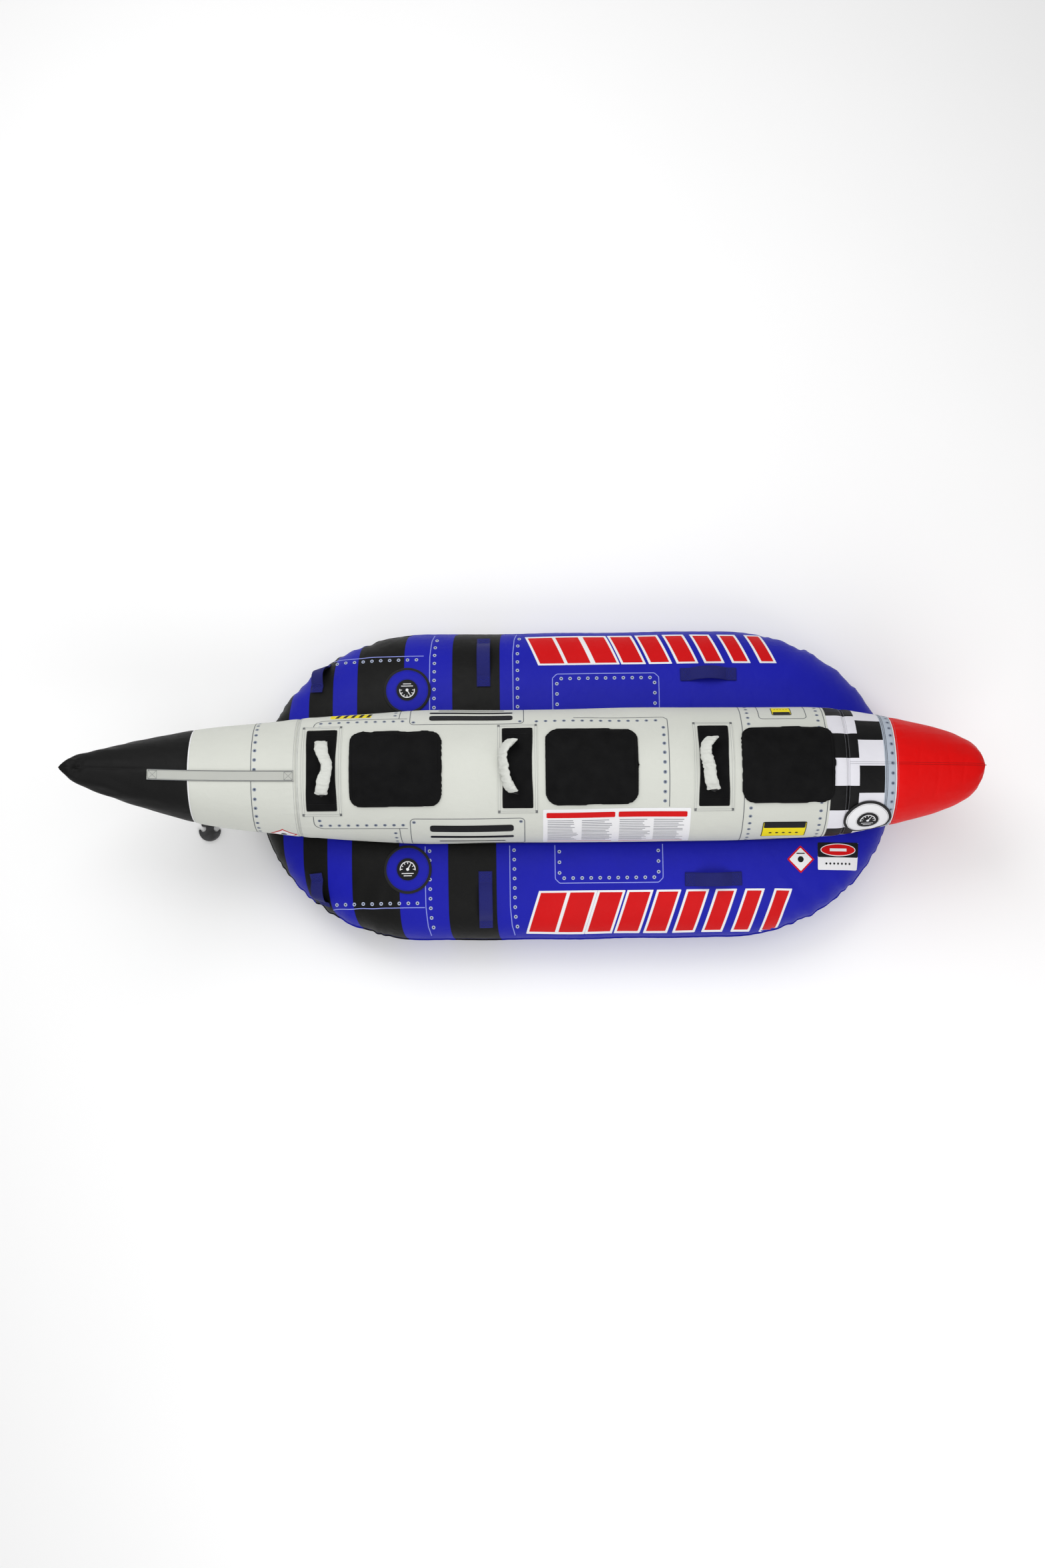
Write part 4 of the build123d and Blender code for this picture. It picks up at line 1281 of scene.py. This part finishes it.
def valve(name, surface, centre, up, material, slot):
    body = name + "_flap"
    placed = flap_surface(surface, centre)
    outline = outline_disc(centre, FLAP_RADIUS - 0.004, 96)
    flap = laid(name + "_flap_fabric", MATERIALS[material], placed, outline, -0.0008, 0.0010, 0.0009)
    show(flap, body, slot, name + "_valve_flap")
    binding = Batch()
    turns = np.linspace(0, 2 * pi, 97)[:, None]
    section = np.linspace(0, 2 * pi, 11)[None, :]
    tube = 0.0055
    reach = FLAP_RADIUS - tube + tube * np.cos(section)
    u = centre[0] + reach * np.cos(turns)
    v = centre[1] + reach * np.sin(turns)
    points = placed(u, v, 0.0002 + 0.0019 * np.sin(section) + 0 * u)
    binding.grid(points, np.stack([turns * FLAP_RADIUS + 0 * u, section * 0.004 + 0 * u], -1))
    binding.show(name + "_flap_binding", "black_webbing", slot, body=body)
    lines = [closed(outline_disc(centre, away, 90)) for away in (FLAP_RADIUS - 0.0135, 0.0425)]
    sewn(name + "_flap_thread", "black_thread", slot, placed, lines, 0.0011, body)
    art = Print(placed, 0.0014)
    dial(art, centre, up)
    art.build(name + "_flap", slot, body)
    finish = "valve_plastic"
    moulded_part(name + "_valve_collar", name + "_valve_base", "valve", 0.0013, 4, "tube", finish)
    moulded_part(name + "_valve_stopper", name + "_valve_cap", "valve", 0.0009, 4, name + "_cap", finish)


def valves():
    for side, name in SIDES:
        valve(name, deck(side), PONTOON_VALVE, -1, "blue", "flap_blue")
    valve("centre", hull, CENTRE_VALVE, 1, "flap_white", "flap_white")


# -------- seats
def arc_reach(x, half_y):
    """How far round the fuselage a point at half_y from its middle plane is."""
    radius = float(fuselage_radius(x))
    return radius * float(np.arcsin(min(half_y / radius, 1)))


PAD_LENGTH = 0.336
PAD_HALF_WIDTH = 0.138
PAD_CORNER = 0.050


def seat_pad(number, x):
    name = "seat_pad_%d" % number
    half = arc_reach(x, PAD_HALF_WIDTH)
    outline = outline_box((x, 0), (PAD_LENGTH, 2 * half - 0.004), PAD_CORNER)
    # The tuck where the edge binding's ends meet, aft on the crown.
    tuck = np.exp(-((outline[:, 1] / 0.006) ** 2)) * (outline[:, 0] > x)
    outline[:, 0] += 0.004 * tuck
    pad = laid(name + "_fabric", MATERIALS["pad"], hull, outline, 0.0014, 0.0100, 0.0075, crown=0.0010)

    def lowest(points):
        return height_over_hull(points) < 0.0045

    def keep_out(points):
        return push_over_hull(points, 0.0010, 0.0150)

    simulated(pad, lowest, 0.006, keep_out=keep_out, rounds=7)
    points = coordinates(pad)
    radius = fuselage_radius(points[:, 0])
    s = np.arctan2(points[:, 1], points[:, 2] - fuselage_axis(points[:, 0])) * radius
    inward = edge_distance(points[:, 0] - x, s, PAD_LENGTH / 2, half - 0.002, PAD_CORNER)
    over = height_over_hull(points) > 0.006
    groove = -0.0018 * np.exp(-(((inward - 0.012) / 0.0026) ** 2)) * over
    crease = 0.0005 * ripples(points[:, 0], s, 0.060, 80 + number) * over
    set_coordinates(pad, shift_over_hull(points, groove + crease))
    show(pad, "tube", "pad_foam", name)
    line = closed(outline_box((x, 0), (PAD_LENGTH - 0.024, 2 * half - 0.028), 0.040))
    sewn(name + "_thread", "black_thread", "pad_foam", pad_face(pad), [line])


def edge_distance(u, v, half_u, half_v, corner):
    """Distance inward from the rim of a rounded rectangle."""
    qu = np.abs(u) - (half_u - corner)
    qv = np.abs(v) - (half_v - corner)
    outside = np.hypot(np.maximum(qu, 0), np.maximum(qv, 0))
    return corner - outside - np.minimum(np.maximum(qu, qv), 0)


def height_over_hull(points):
    axis = fuselage_axis(points[:, 0])
    return np.hypot(points[:, 1], points[:, 2] - axis) - fuselage_radius(points[:, 0])


def shift_over_hull(points, rise):
    """Points moved along the fuselage's radius."""
    axis = fuselage_axis(points[:, 0])
    reach = np.hypot(points[:, 1], points[:, 2] - axis)
    grow = (reach + rise) / np.maximum(reach, 1e-9)
    moved = points.copy()
    moved[:, 1] = points[:, 1] * grow
    moved[:, 2] = axis + (points[:, 2] - axis) * grow
    return moved


def push_over_hull(points, low, high):
    height = height_over_hull(points)
    return shift_over_hull(points, np.clip(height, low, high) - height)


def pad_face(piece):
    """The upper face of a finished piece on the fuselage, as a surface in x and s."""
    mesh = piece.data
    tree = BVHTree.FromPolygons([v.co for v in mesh.vertices], [p.vertices[:] for p in mesh.polygons])

    def surface(u, v, lift=0.0):
        u, v, lift = np.broadcast_arrays(u, v, lift)
        far = hull(u, v, 0.05)
        near = hull(u, v, 0.0)
        out = np.empty(far.shape)
        for index in np.ndindex(u.shape):
            start = Vector(far[index])
            way = (Vector(near[index]) - start).normalized()
            hit = tree.ray_cast(start, way)[0]
            out[index] = (hit if hit else Vector(near[index])) - way * float(lift[index])
        return out

    return surface


def handle_patch(number, x):
    name = "handle_patch_%d" % number
    length, half = 0.147, arc_reach(x, 0.161)
    outline = outline_box((x, 0), (length, 2 * half - 0.002), 0.004)
    patch = laid(name + "_fabric", MATERIALS["grey"], hull, outline, 0.0003, 0.0018, 0.0007)
    show(patch, "tube", "grey_nylon", name)
    lines = []
    for inset in (0.004, 0.011):
        lines.append(closed(outline_box((x, 0), (length - 2 * inset, 2 * half - 2 * inset), 0.003)))
    sewn(name + "_thread", "grey_ink", "grey_nylon", hull, lines, 0.0019)
    tacks = Batch()
    for i in (-1, 1):
        for j in (-1, 1):
            u, v = x + i * 0.0665, j * (half - 0.0085)
            for k in range(5):
                at = u - 0.0035 + 0.00175 * k
                stitches(tacks, hull, [(at, v - 0.006), (at, v + 0.006)], 0.0022, 0.006, 0.0055, 0.0012)
    tacks.show(name + "_tacks", "panel_ink", "grey_nylon")


GUARD_LENGTH = 0.109
GUARD_FOLD = 0.039


def knuckle_guard(number, x):
    name = "knuckle_guard_%d" % number
    half = arc_reach(x, 0.143)
    # The guard pulls in a little between its folded ends.
    outline = outline_box((x, 0), (GUARD_LENGTH, 2 * half - 0.002), 0.004, 0.004)
    waist = 1 - smoothstep(0.2, 1.0, np.abs(outline[:, 1]) / (half - GUARD_FOLD))
    outline[:, 0] = x + (outline[:, 0] - x) * (1 - 0.055 * waist)

    def bulge(u, v, inward):
        from_fold = half - np.abs(v) - GUARD_FOLD
        folded = 0.0026 * smoothstep(0.0022, -0.0022, from_fold)
        seam = -0.0012 * np.exp(-((from_fold + 0.008) / 0.0016) ** 2)
        soft = 0.0007 * ripples(u, v, 0.05, 90 + number)
        return (folded + seam + soft) * smoothstep(0.0, 0.008, inward + 0.002)

    fabric = MATERIALS["guard"]
    guard = laid(name + "_fabric", fabric, hull, outline, 0.0019, 0.0064, 0.0028, relief=bulge)
    show(guard, "tube", "guard_neoprene", name)
    places = [end * (half - inset) for end in (-1, 1) for inset in (0.005, GUARD_FOLD - 0.008)]
    lines = [[(x - 0.047, s), (x + 0.047, s)] for s in places]
    sewn(name + "_thread", "black_thread", "guard_neoprene", hull, lines, 0.0088)


# How each grip sags out of its own plane, from its left end to its right: (share of half its span, metres).
GRIP_SAGS = (
    ((-1.0, -0.005), (-0.4, 0.000), (0.05, 0.012), (0.5, -0.006), (1.0, -0.004)),
    ((-1.0, 0.010), (0.0, -0.004), (0.4, -0.010), (0.75, 0.002), (1.0, 0.012)),
    ((-1.0, 0.008), (-0.2, 0.002), (0.45, -0.008), (0.7, -0.006), (1.0, 0.014)),
)
GRIP_SLEEVE_SPAN = 0.088
SLEEVE_HALF_WIDTH = 0.0215
SLEEVE_HALF_THICKNESS = 0.0095


def hinge_height(x):
    """Height of a grip's hinge line, as the guard below it sets it."""
    top = float(fuselage_radius(x)) + 0.0066
    return float(fuselage_axis(x)) + sqrt(top**2 - GRIP_HALF_SPAN**2) + 0.005


def arch():
    """The grip's line over the guard, standing up, from its left end to its right."""
    turns = np.linspace(0, pi, 97)
    power = 2 / GRIP_ARCH_POWER
    side = np.where(turns < pi / 2, -1, 1)
    y = side * GRIP_HALF_SPAN * np.abs(np.cos(turns)) ** power
    z = GRIP_HEIGHT * np.abs(np.sin(turns)) ** power
    return resample(np.stack([0 * y, y, z], 1), 0.003)[0]


def tilt(points, x, angle):
    """Points beside the hinge, turned about it and put in place on the fuselage."""
    turn = Matrix.Rotation(radians(angle), 3, "Y")
    turned = np.asarray(points) @ np.array(turn).T
    return turned + np.array([x, 0, hinge_height(x)])


def grip(number, x, angle):
    """A webbing handle with a padded sleeve round its middle, tilted by angle about its hinge."""
    body = "grip_%d" % number
    route = arch()
    sag = np.array(GRIP_SAGS[number - 1])
    off = np.interp(route[:, 1] / GRIP_HALF_SPAN, sag[:, 0], sag[:, 1])
    off = np.convolve(np.pad(off, 6, "edge"), np.ones(13) / 13, "valid")
    route[:, 0] += off * smoothstep(0.010, 0.045, route[:, 2])
    ahead = np.gradient(route, axis=0)
    out = np.cross(ahead, (1, 0, 0))
    out /= np.linalg.norm(out, axis=1, keepdims=True)
    widths = 0.008 + 0.030 * np.clip((GRIP_HALF_SPAN - np.abs(route[:, 1])) / 0.006, 0, 1)
    strap = Batch()
    Strap(tilt(route, x, angle), tilt(out, x, angle) - tilt(0 * out, x, angle), widths, 0.0024).mesh(strap)
    strap.show(body + "_strap", "black_webbing", "webbing_black", "grip_webbing_%d" % number, body=body)

    inner = np.abs(route[:, 1]) <= GRIP_SLEEVE_SPAN + 0.004
    line, out = route[inner], out[inner]
    along = np.linspace(-1, 1, len(line))
    end = np.abs(along)
    bunch = ripples(along * 0.3, 0 * along, 0.055, 100 + number)
    flare = 1 + 0.20 * smoothstep(0.86, 1.0, end) + 0.08 * bunch
    thin = 1 - 0.45 * smoothstep(0.82, 1.0, end) + 0.10 * ripples(along * 0.3, 0 * along, 0.04, 110 + number)
    turns = np.linspace(0, 2 * pi, 40, endpoint=False)
    edge = np.sign(np.cos(turns)) * np.abs(np.cos(turns)) ** 0.8
    folds = 0.0016 * ripples(along[:, None] * 0.25, turns[None, :] * 0.012, 0.022, 120 + number)
    wide = SLEEVE_HALF_WIDTH * flare[:, None] * edge[None, :]
    rise = SLEEVE_HALF_THICKNESS * thin[:, None] * np.sin(turns)[None, :]
    rise = rise + folds * np.sin(turns)[None, :]
    points = line[:, None, :] + wide[..., None] * np.array([1.0, 0, 0]) + rise[..., None] * out[:, None, :]
    faces = capped_faces(len(line), len(turns))
    verts = tilt(points.reshape(-1, 3), x, angle)
    sleeve = recalc_normals(new_object(body + "_sleeve", verts, faces, None, MATERIALS["grip"]))
    ends = tilt(line[[0, -1]], x, angle)

    def held(points):
        near = [np.linalg.norm(points - end, axis=1) < 0.012 for end in ends]
        return near[0] | near[1]

    simulated(sleeve, held, 0.004, pressure=3.0, voxel=0.0036, shrink=-0.14)
    show(sleeve, body, "grip_white", "grip_sleeve_%d" % number)


def seats():
    for i in range(SEATS):
        number, x = i + 1, FIRST_GUARD_X + SEAT_PITCH * i
        handle_patch(number, x)
        knuckle_guard(number, x)
        grip(number, x, GRIP_REST[i])
        seat_pad(number, x + PAD_OFFSET)


# -------- boarding handles
HANDLE_SLACK = 0.024
HANDLE_SEWN = (0.004, 0.036)


def handle(name, side, start, end):
    """Webbing sewn at both ends, slack between; start and end are (x, section angle)."""
    shares = np.linspace(0, 1, 41)
    x = start[0] + (end[0] - start[0]) * shares
    turn = np.radians(start[1] + (end[1] - start[1]) * shares)
    slack = HANDLE_SLACK * np.sin(pi * np.clip((shares - 0.17) / 0.66, 0, 1)) ** 0.9
    normals = pontoon_normal(side, x, turn)
    route = pontoon(side, x, turn) + normals * (0.0036 + slack)[:, None]
    web, thread = Batch(), Batch()
    strap = Strap(route, normals, BOARDING_WEBBING_WIDTH).mesh(web)
    near, far = HANDLE_SEWN
    for low, high in ((near, far), (strap.length - far, strap.length - near)):
        strap.box_stitching(thread, low, high)
        middle = (low + high) / 2
        turns = np.linspace(0, 2 * pi, 33)
        lens = np.stack([middle + 0.009 * np.cos(turns), 0.017 * np.sin(turns)], 1)
        stitches(thread, strap.surface, lens, 0.0001)
    label = name.replace("handle_", "") + "_handle"
    web.show(label + "_strap", "dark_blue_webbing", "webbing_blue", name)
    thread.show(label + "_thread", "blue_thread", "webbing_blue")


def handles():
    for side, name in SIDES:
        handle(name + "_handle_bow", side, (-0.792, 61), (-0.762, 20))
        handle(name + "_handle_side", side, (-0.166, 82), (-0.166, 30))
        handle(name + "_handle_stern", side, (0.565, 74), (0.773, 74))


# -------- bow and keel webbing
def lengthwise_strap(name, ends, side_ys, on_crown, node):
    """Webbing sewn along the crown or the keel; the crown's has dark selvedges."""
    xs = np.linspace(*ends, 90)
    y = np.linspace(*side_ys, 90)
    radius = fuselage_radius(xs)
    s = radius * np.arcsin(y / radius) if on_crown else radius * pi - y
    route = hull(xs, s, 0.0022)
    normals = hull(xs, s, 0.0122) - route
    web, thread = Batch(), Batch()
    strap = Strap(route, normals, BOW_WEBBING_WIDTH).mesh(web)
    for v in (-0.0155, 0.0155):
        stitches(thread, strap.surface, [(0.004, v), (strap.length - 0.004, v)], 0.0001)
    strap.box_stitching(thread, 0.004, 0.034, inset=0.005)
    strap.box_stitching(thread, strap.length - 0.034, strap.length - 0.004, inset=0.005)
    web.show(name, "grey_webbing", "webbing_grey", node)
    thread.show(name + "_thread", "panel_ink", "webbing_grey")
    if on_crown:
        edges = Batch()
        for v in (-0.0182, 0.0182):
            ribbon(edges, strap.surface, [(0.0, v), (strap.length, v)], 0.0012, 0.0001)
        edges.show(name + "_selvedge", "panel_ink", "webbing_grey")


def straps():
    lengthwise_strap("bow_webbing", (-1.347, -0.836), (-0.018, -0.024), True, "bow_strap")
    lengthwise_strap("keel_webbing", (-1.328, -0.762), (0.0, 0.0), False, "keel_strap")


# -------- towing gear
TOW_X = -1.234
TOW_DROP = 0.010
TOW_ROUTE = ((0, 0), (-0.006, -0.045), (-0.024, -0.130), (-0.052, -0.215), (-0.078, -0.272))
HOOK_BAR = (-0.098, 0.0066)


def hull_bottom(x):
    return float(fuselage_axis(x) - fuselage_radius(x))


def towing_gear():
    axis_z = hull_bottom(TOW_X + 0.024) - TOW_DROP
    web, thread = Batch(), Batch()
    gusset_line = [(TOW_X, 0, hull_bottom(TOW_X) - 0.002), (TOW_X, 0, axis_z + 0.002)]
    gusset = Strap(gusset_line, (0, -1, 0), 0.047, 0.0030).mesh(web)
    gusset.box_stitching(thread, 0.003, gusset.length - 0.002, False, 0.005)
    web.show("tow_gusset_web", "black_webbing", "webbing_black", "tow_gusset")
    thread.show("tow_gusset_thread", "grey_ink", "webbing_black")
    web, thread = Batch(), Batch()
    bar_y, bar_z = HOOK_BAR
    route = [(TOW_X, y, axis_z + z) for y, z in TOW_ROUTE] + [(TOW_X, bar_y + 0.0046, bar_z + 0.0050)]
    strap = Strap(spline_through(route), (0, -0.95, 0.3), TOW_STRAP_WIDTH, 0.0030).mesh(web)
    strap.box_stitching(thread, 0.008, 0.048, True, 0.005)
    strap.box_stitching(thread, strap.length - 0.052, strap.length - 0.014, True, 0.005)
    turns = np.linspace(0, 2 * pi, 40)
    loop = [(TOW_X, bar_y + 0.0054 * cos(a), bar_z + 0.0054 * sin(a)) for a in turns]
    away = [(0, cos(a), sin(a)) for a in turns]
    Strap(loop, away, TOW_STRAP_WIDTH - 0.0004, 0.0019).mesh(web)
    # The strap's top edge is rolled, and fills the gap up to the gusset.
    roll = [(TOW_X, 0.0014 * cos(a), axis_z + 0.0008 + 0.0012 * sin(a)) for a in turns]
    Strap(roll, away, TOW_STRAP_WIDTH, 0.0012).mesh(web)
    web.show("tow_strap_web", "black_webbing", "webbing_black", "tow_strap", body="tow_strap")
    thread.show("tow_strap_thread", "grey_ink", "webbing_black", body="tow_strap")
    moulded_part("tow_hook_moulding", "tow_hook", "hook", 0.0016, 8, "tow_hook", "hook_plastic")


def spline_through(points, steps=12):
    """A smooth line through a few points (Catmull-Rom)."""
    p = [np.array(q, float) for q in points]
    p = [2 * p[0] - p[1]] + p + [2 * p[-1] - p[-2]]
    line = []
    for i in range(1, len(p) - 2):
        for k in range(steps):
            t = k / steps
            a, b, c, d = p[i - 1 : i + 3]
            curve = 2 * b + (c - a) * t + (2 * a - 5 * b + 4 * c - d) * t**2 + (3 * b - a - 3 * c + d) * t**3
            line.append(0.5 * curve)
    return line + [p[-2]]


# -------- zips
def zip_fastener(name, route, normals, node):
    tape, teeth = Batch(), Batch()
    strap = Strap(route, normals, 0.024, 0.0010).mesh(tape)
    for side in (-1, 1):
        line = [(0.006, side * 0.0014), (strap.length - 0.006, side * 0.0014)]
        stitches(teeth, strap.surface, line, 0.0, 0.0024, 0.0013, 0.0030)
        stitches(tape, strap.surface, [(0.004, side * 0.0095), (strap.length - 0.004, side * 0.0095)], 0.0)
    tape.show(name + "_tape", "zip_tape", "zip_tape", node)
    teeth.show(name + "_teeth", "slider", "zip_tape")
    body = node.replace("_zip", "_slider")
    moulded_part(name + "_pull", node + "_slider", "slider", 0.0008, 4, body, "zip_slider")


KEEL_ZIP_ENDS = (-0.230, 0.620)
PONTOON_ZIP_ENDS = (-0.330, 0.680)
PONTOON_ZIP_TURN = radians(215)


def zips():
    xs = np.linspace(*KEEL_ZIP_ENDS, 60)
    s = pi * fuselage_radius(xs)
    route = hull(xs, s, 0.0016)
    zip_fastener("keel_zip", route, hull(xs, s, 0.0116) - route, "centre_zip")
    xs = np.linspace(*PONTOON_ZIP_ENDS, 60)
    for side, name in SIDES:
        route = pontoon(side, xs, PONTOON_ZIP_TURN, 0.0018)
        out = pontoon(side, xs, PONTOON_ZIP_TURN, 0.0118) - route
        zip_fastener(name + "_pontoon_zip", route, out, name + "_zip")


JOIN_ENDS = (-0.620, 0.960)
JOIN_INNER_Y, JOIN_OUTER_Y = 0.130, 0.195


def join_strips():
    xs = np.linspace(*JOIN_ENDS, 180)
    shares = np.linspace(0, 1, 13)
    y = JOIN_INNER_Y + (JOIN_OUTER_Y - JOIN_INNER_Y) * shares[None, :]
    radius = fuselage_radius(xs)[:, None]
    u = np.broadcast_to(xs[:, None], (len(xs), len(shares)))
    for side, name in SIDES:
        strip = Batch()
        points = hull(u, side * radius * (pi - np.arcsin(y / radius)), 0.0009)
        strip.grid(points, paired(xs, np.broadcast_to(0.08 * shares, u.shape)))
        strip.show(name + "_join_fabric", "black_webbing", "webbing_black", name + "_join_strip")


# -------- floor, light and camera
def studio():
    paint = Shade("studio_floor", 0.9)
    mottle = paint.noise(paint.place(), 0.9)
    tone = paint.mix(mottle, rgb(249, 249, 249), rgb(252, 252, 252))
    paint.finish(tone, paint.bump(mottle, 0.0001))
    corner = 14.0
    verts = [(-corner, -corner, 0), (corner, -corner, 0), (corner, corner, 0), (-corner, corner, 0)]
    new_object("studio_floor", verts, [(0, 1, 2, 3)], None, paint.material, False)

    world = bpy.data.worlds.new("studio")
    world.use_nodes = True
    background = world.node_tree.nodes["Background"].inputs
    background["Color"].default_value = (1, 1, 1, 1)
    background["Strength"].default_value = 0.46
    bpy.context.scene.world = world
    aim = Vector((0, 0, 0.2))
    for name, spot, size, power in (
        ("key_light", (-1.5, 2.6, 4.5), 3.5, 108),
        ("fill_light", (1.2, -3.8, 3.6), 4.0, 104),
        ("top_light", (0.0, 0.4, 5.6), 5.0, 74),
    ):
        light = bpy.data.lights.new(name, "AREA")
        light.shape = "DISK"
        light.size = size
        light.energy = power
        lamp = bpy.data.objects.new(name, light)
        bpy.context.scene.collection.objects.link(lamp)
        lamp.location = spot
        lamp.rotation_euler = (aim - Vector(spot)).to_track_quat("-Z", "Y").to_euler()
    bpy.context.scene.view_settings.view_transform = "Standard"


CAMERA_TARGET = Vector((-0.026, -0.0296, 0.406))
CAMERA_DISTANCE = 7.0
CAMERA_TILT = radians(8.0)
CAMERA_ROLL = -0.012
CAMERA_LENS = 43.93


def camera():
    data = bpy.data.cameras.new("camera")
    data.sensor_fit = "VERTICAL"
    data.sensor_height = 36.0
    data.lens = CAMERA_LENS
    made = bpy.data.objects.new("camera", data)
    bpy.context.scene.collection.objects.link(made)
    toward = Vector((0, -sin(CAMERA_TILT), cos(CAMERA_TILT)))
    up = Vector((0, cos(CAMERA_TILT), sin(CAMERA_TILT)))
    right = up.cross(toward)
    turn = Matrix((right, up, toward)).transposed() @ Matrix.Rotation(CAMERA_ROLL, 3, "Z")
    made.matrix_world = Matrix.Translation(CAMERA_TARGET + toward * CAMERA_DISTANCE) @ turn.to_4x4()
    bpy.context.scene.camera = made


# -------- build
covers()
fuselage_seams()
fuselage_graphics()
pontoon_graphics()
valves()
seats()
handles()
straps()
towing_gear()
zips()
join_strips()
studio()
camera()
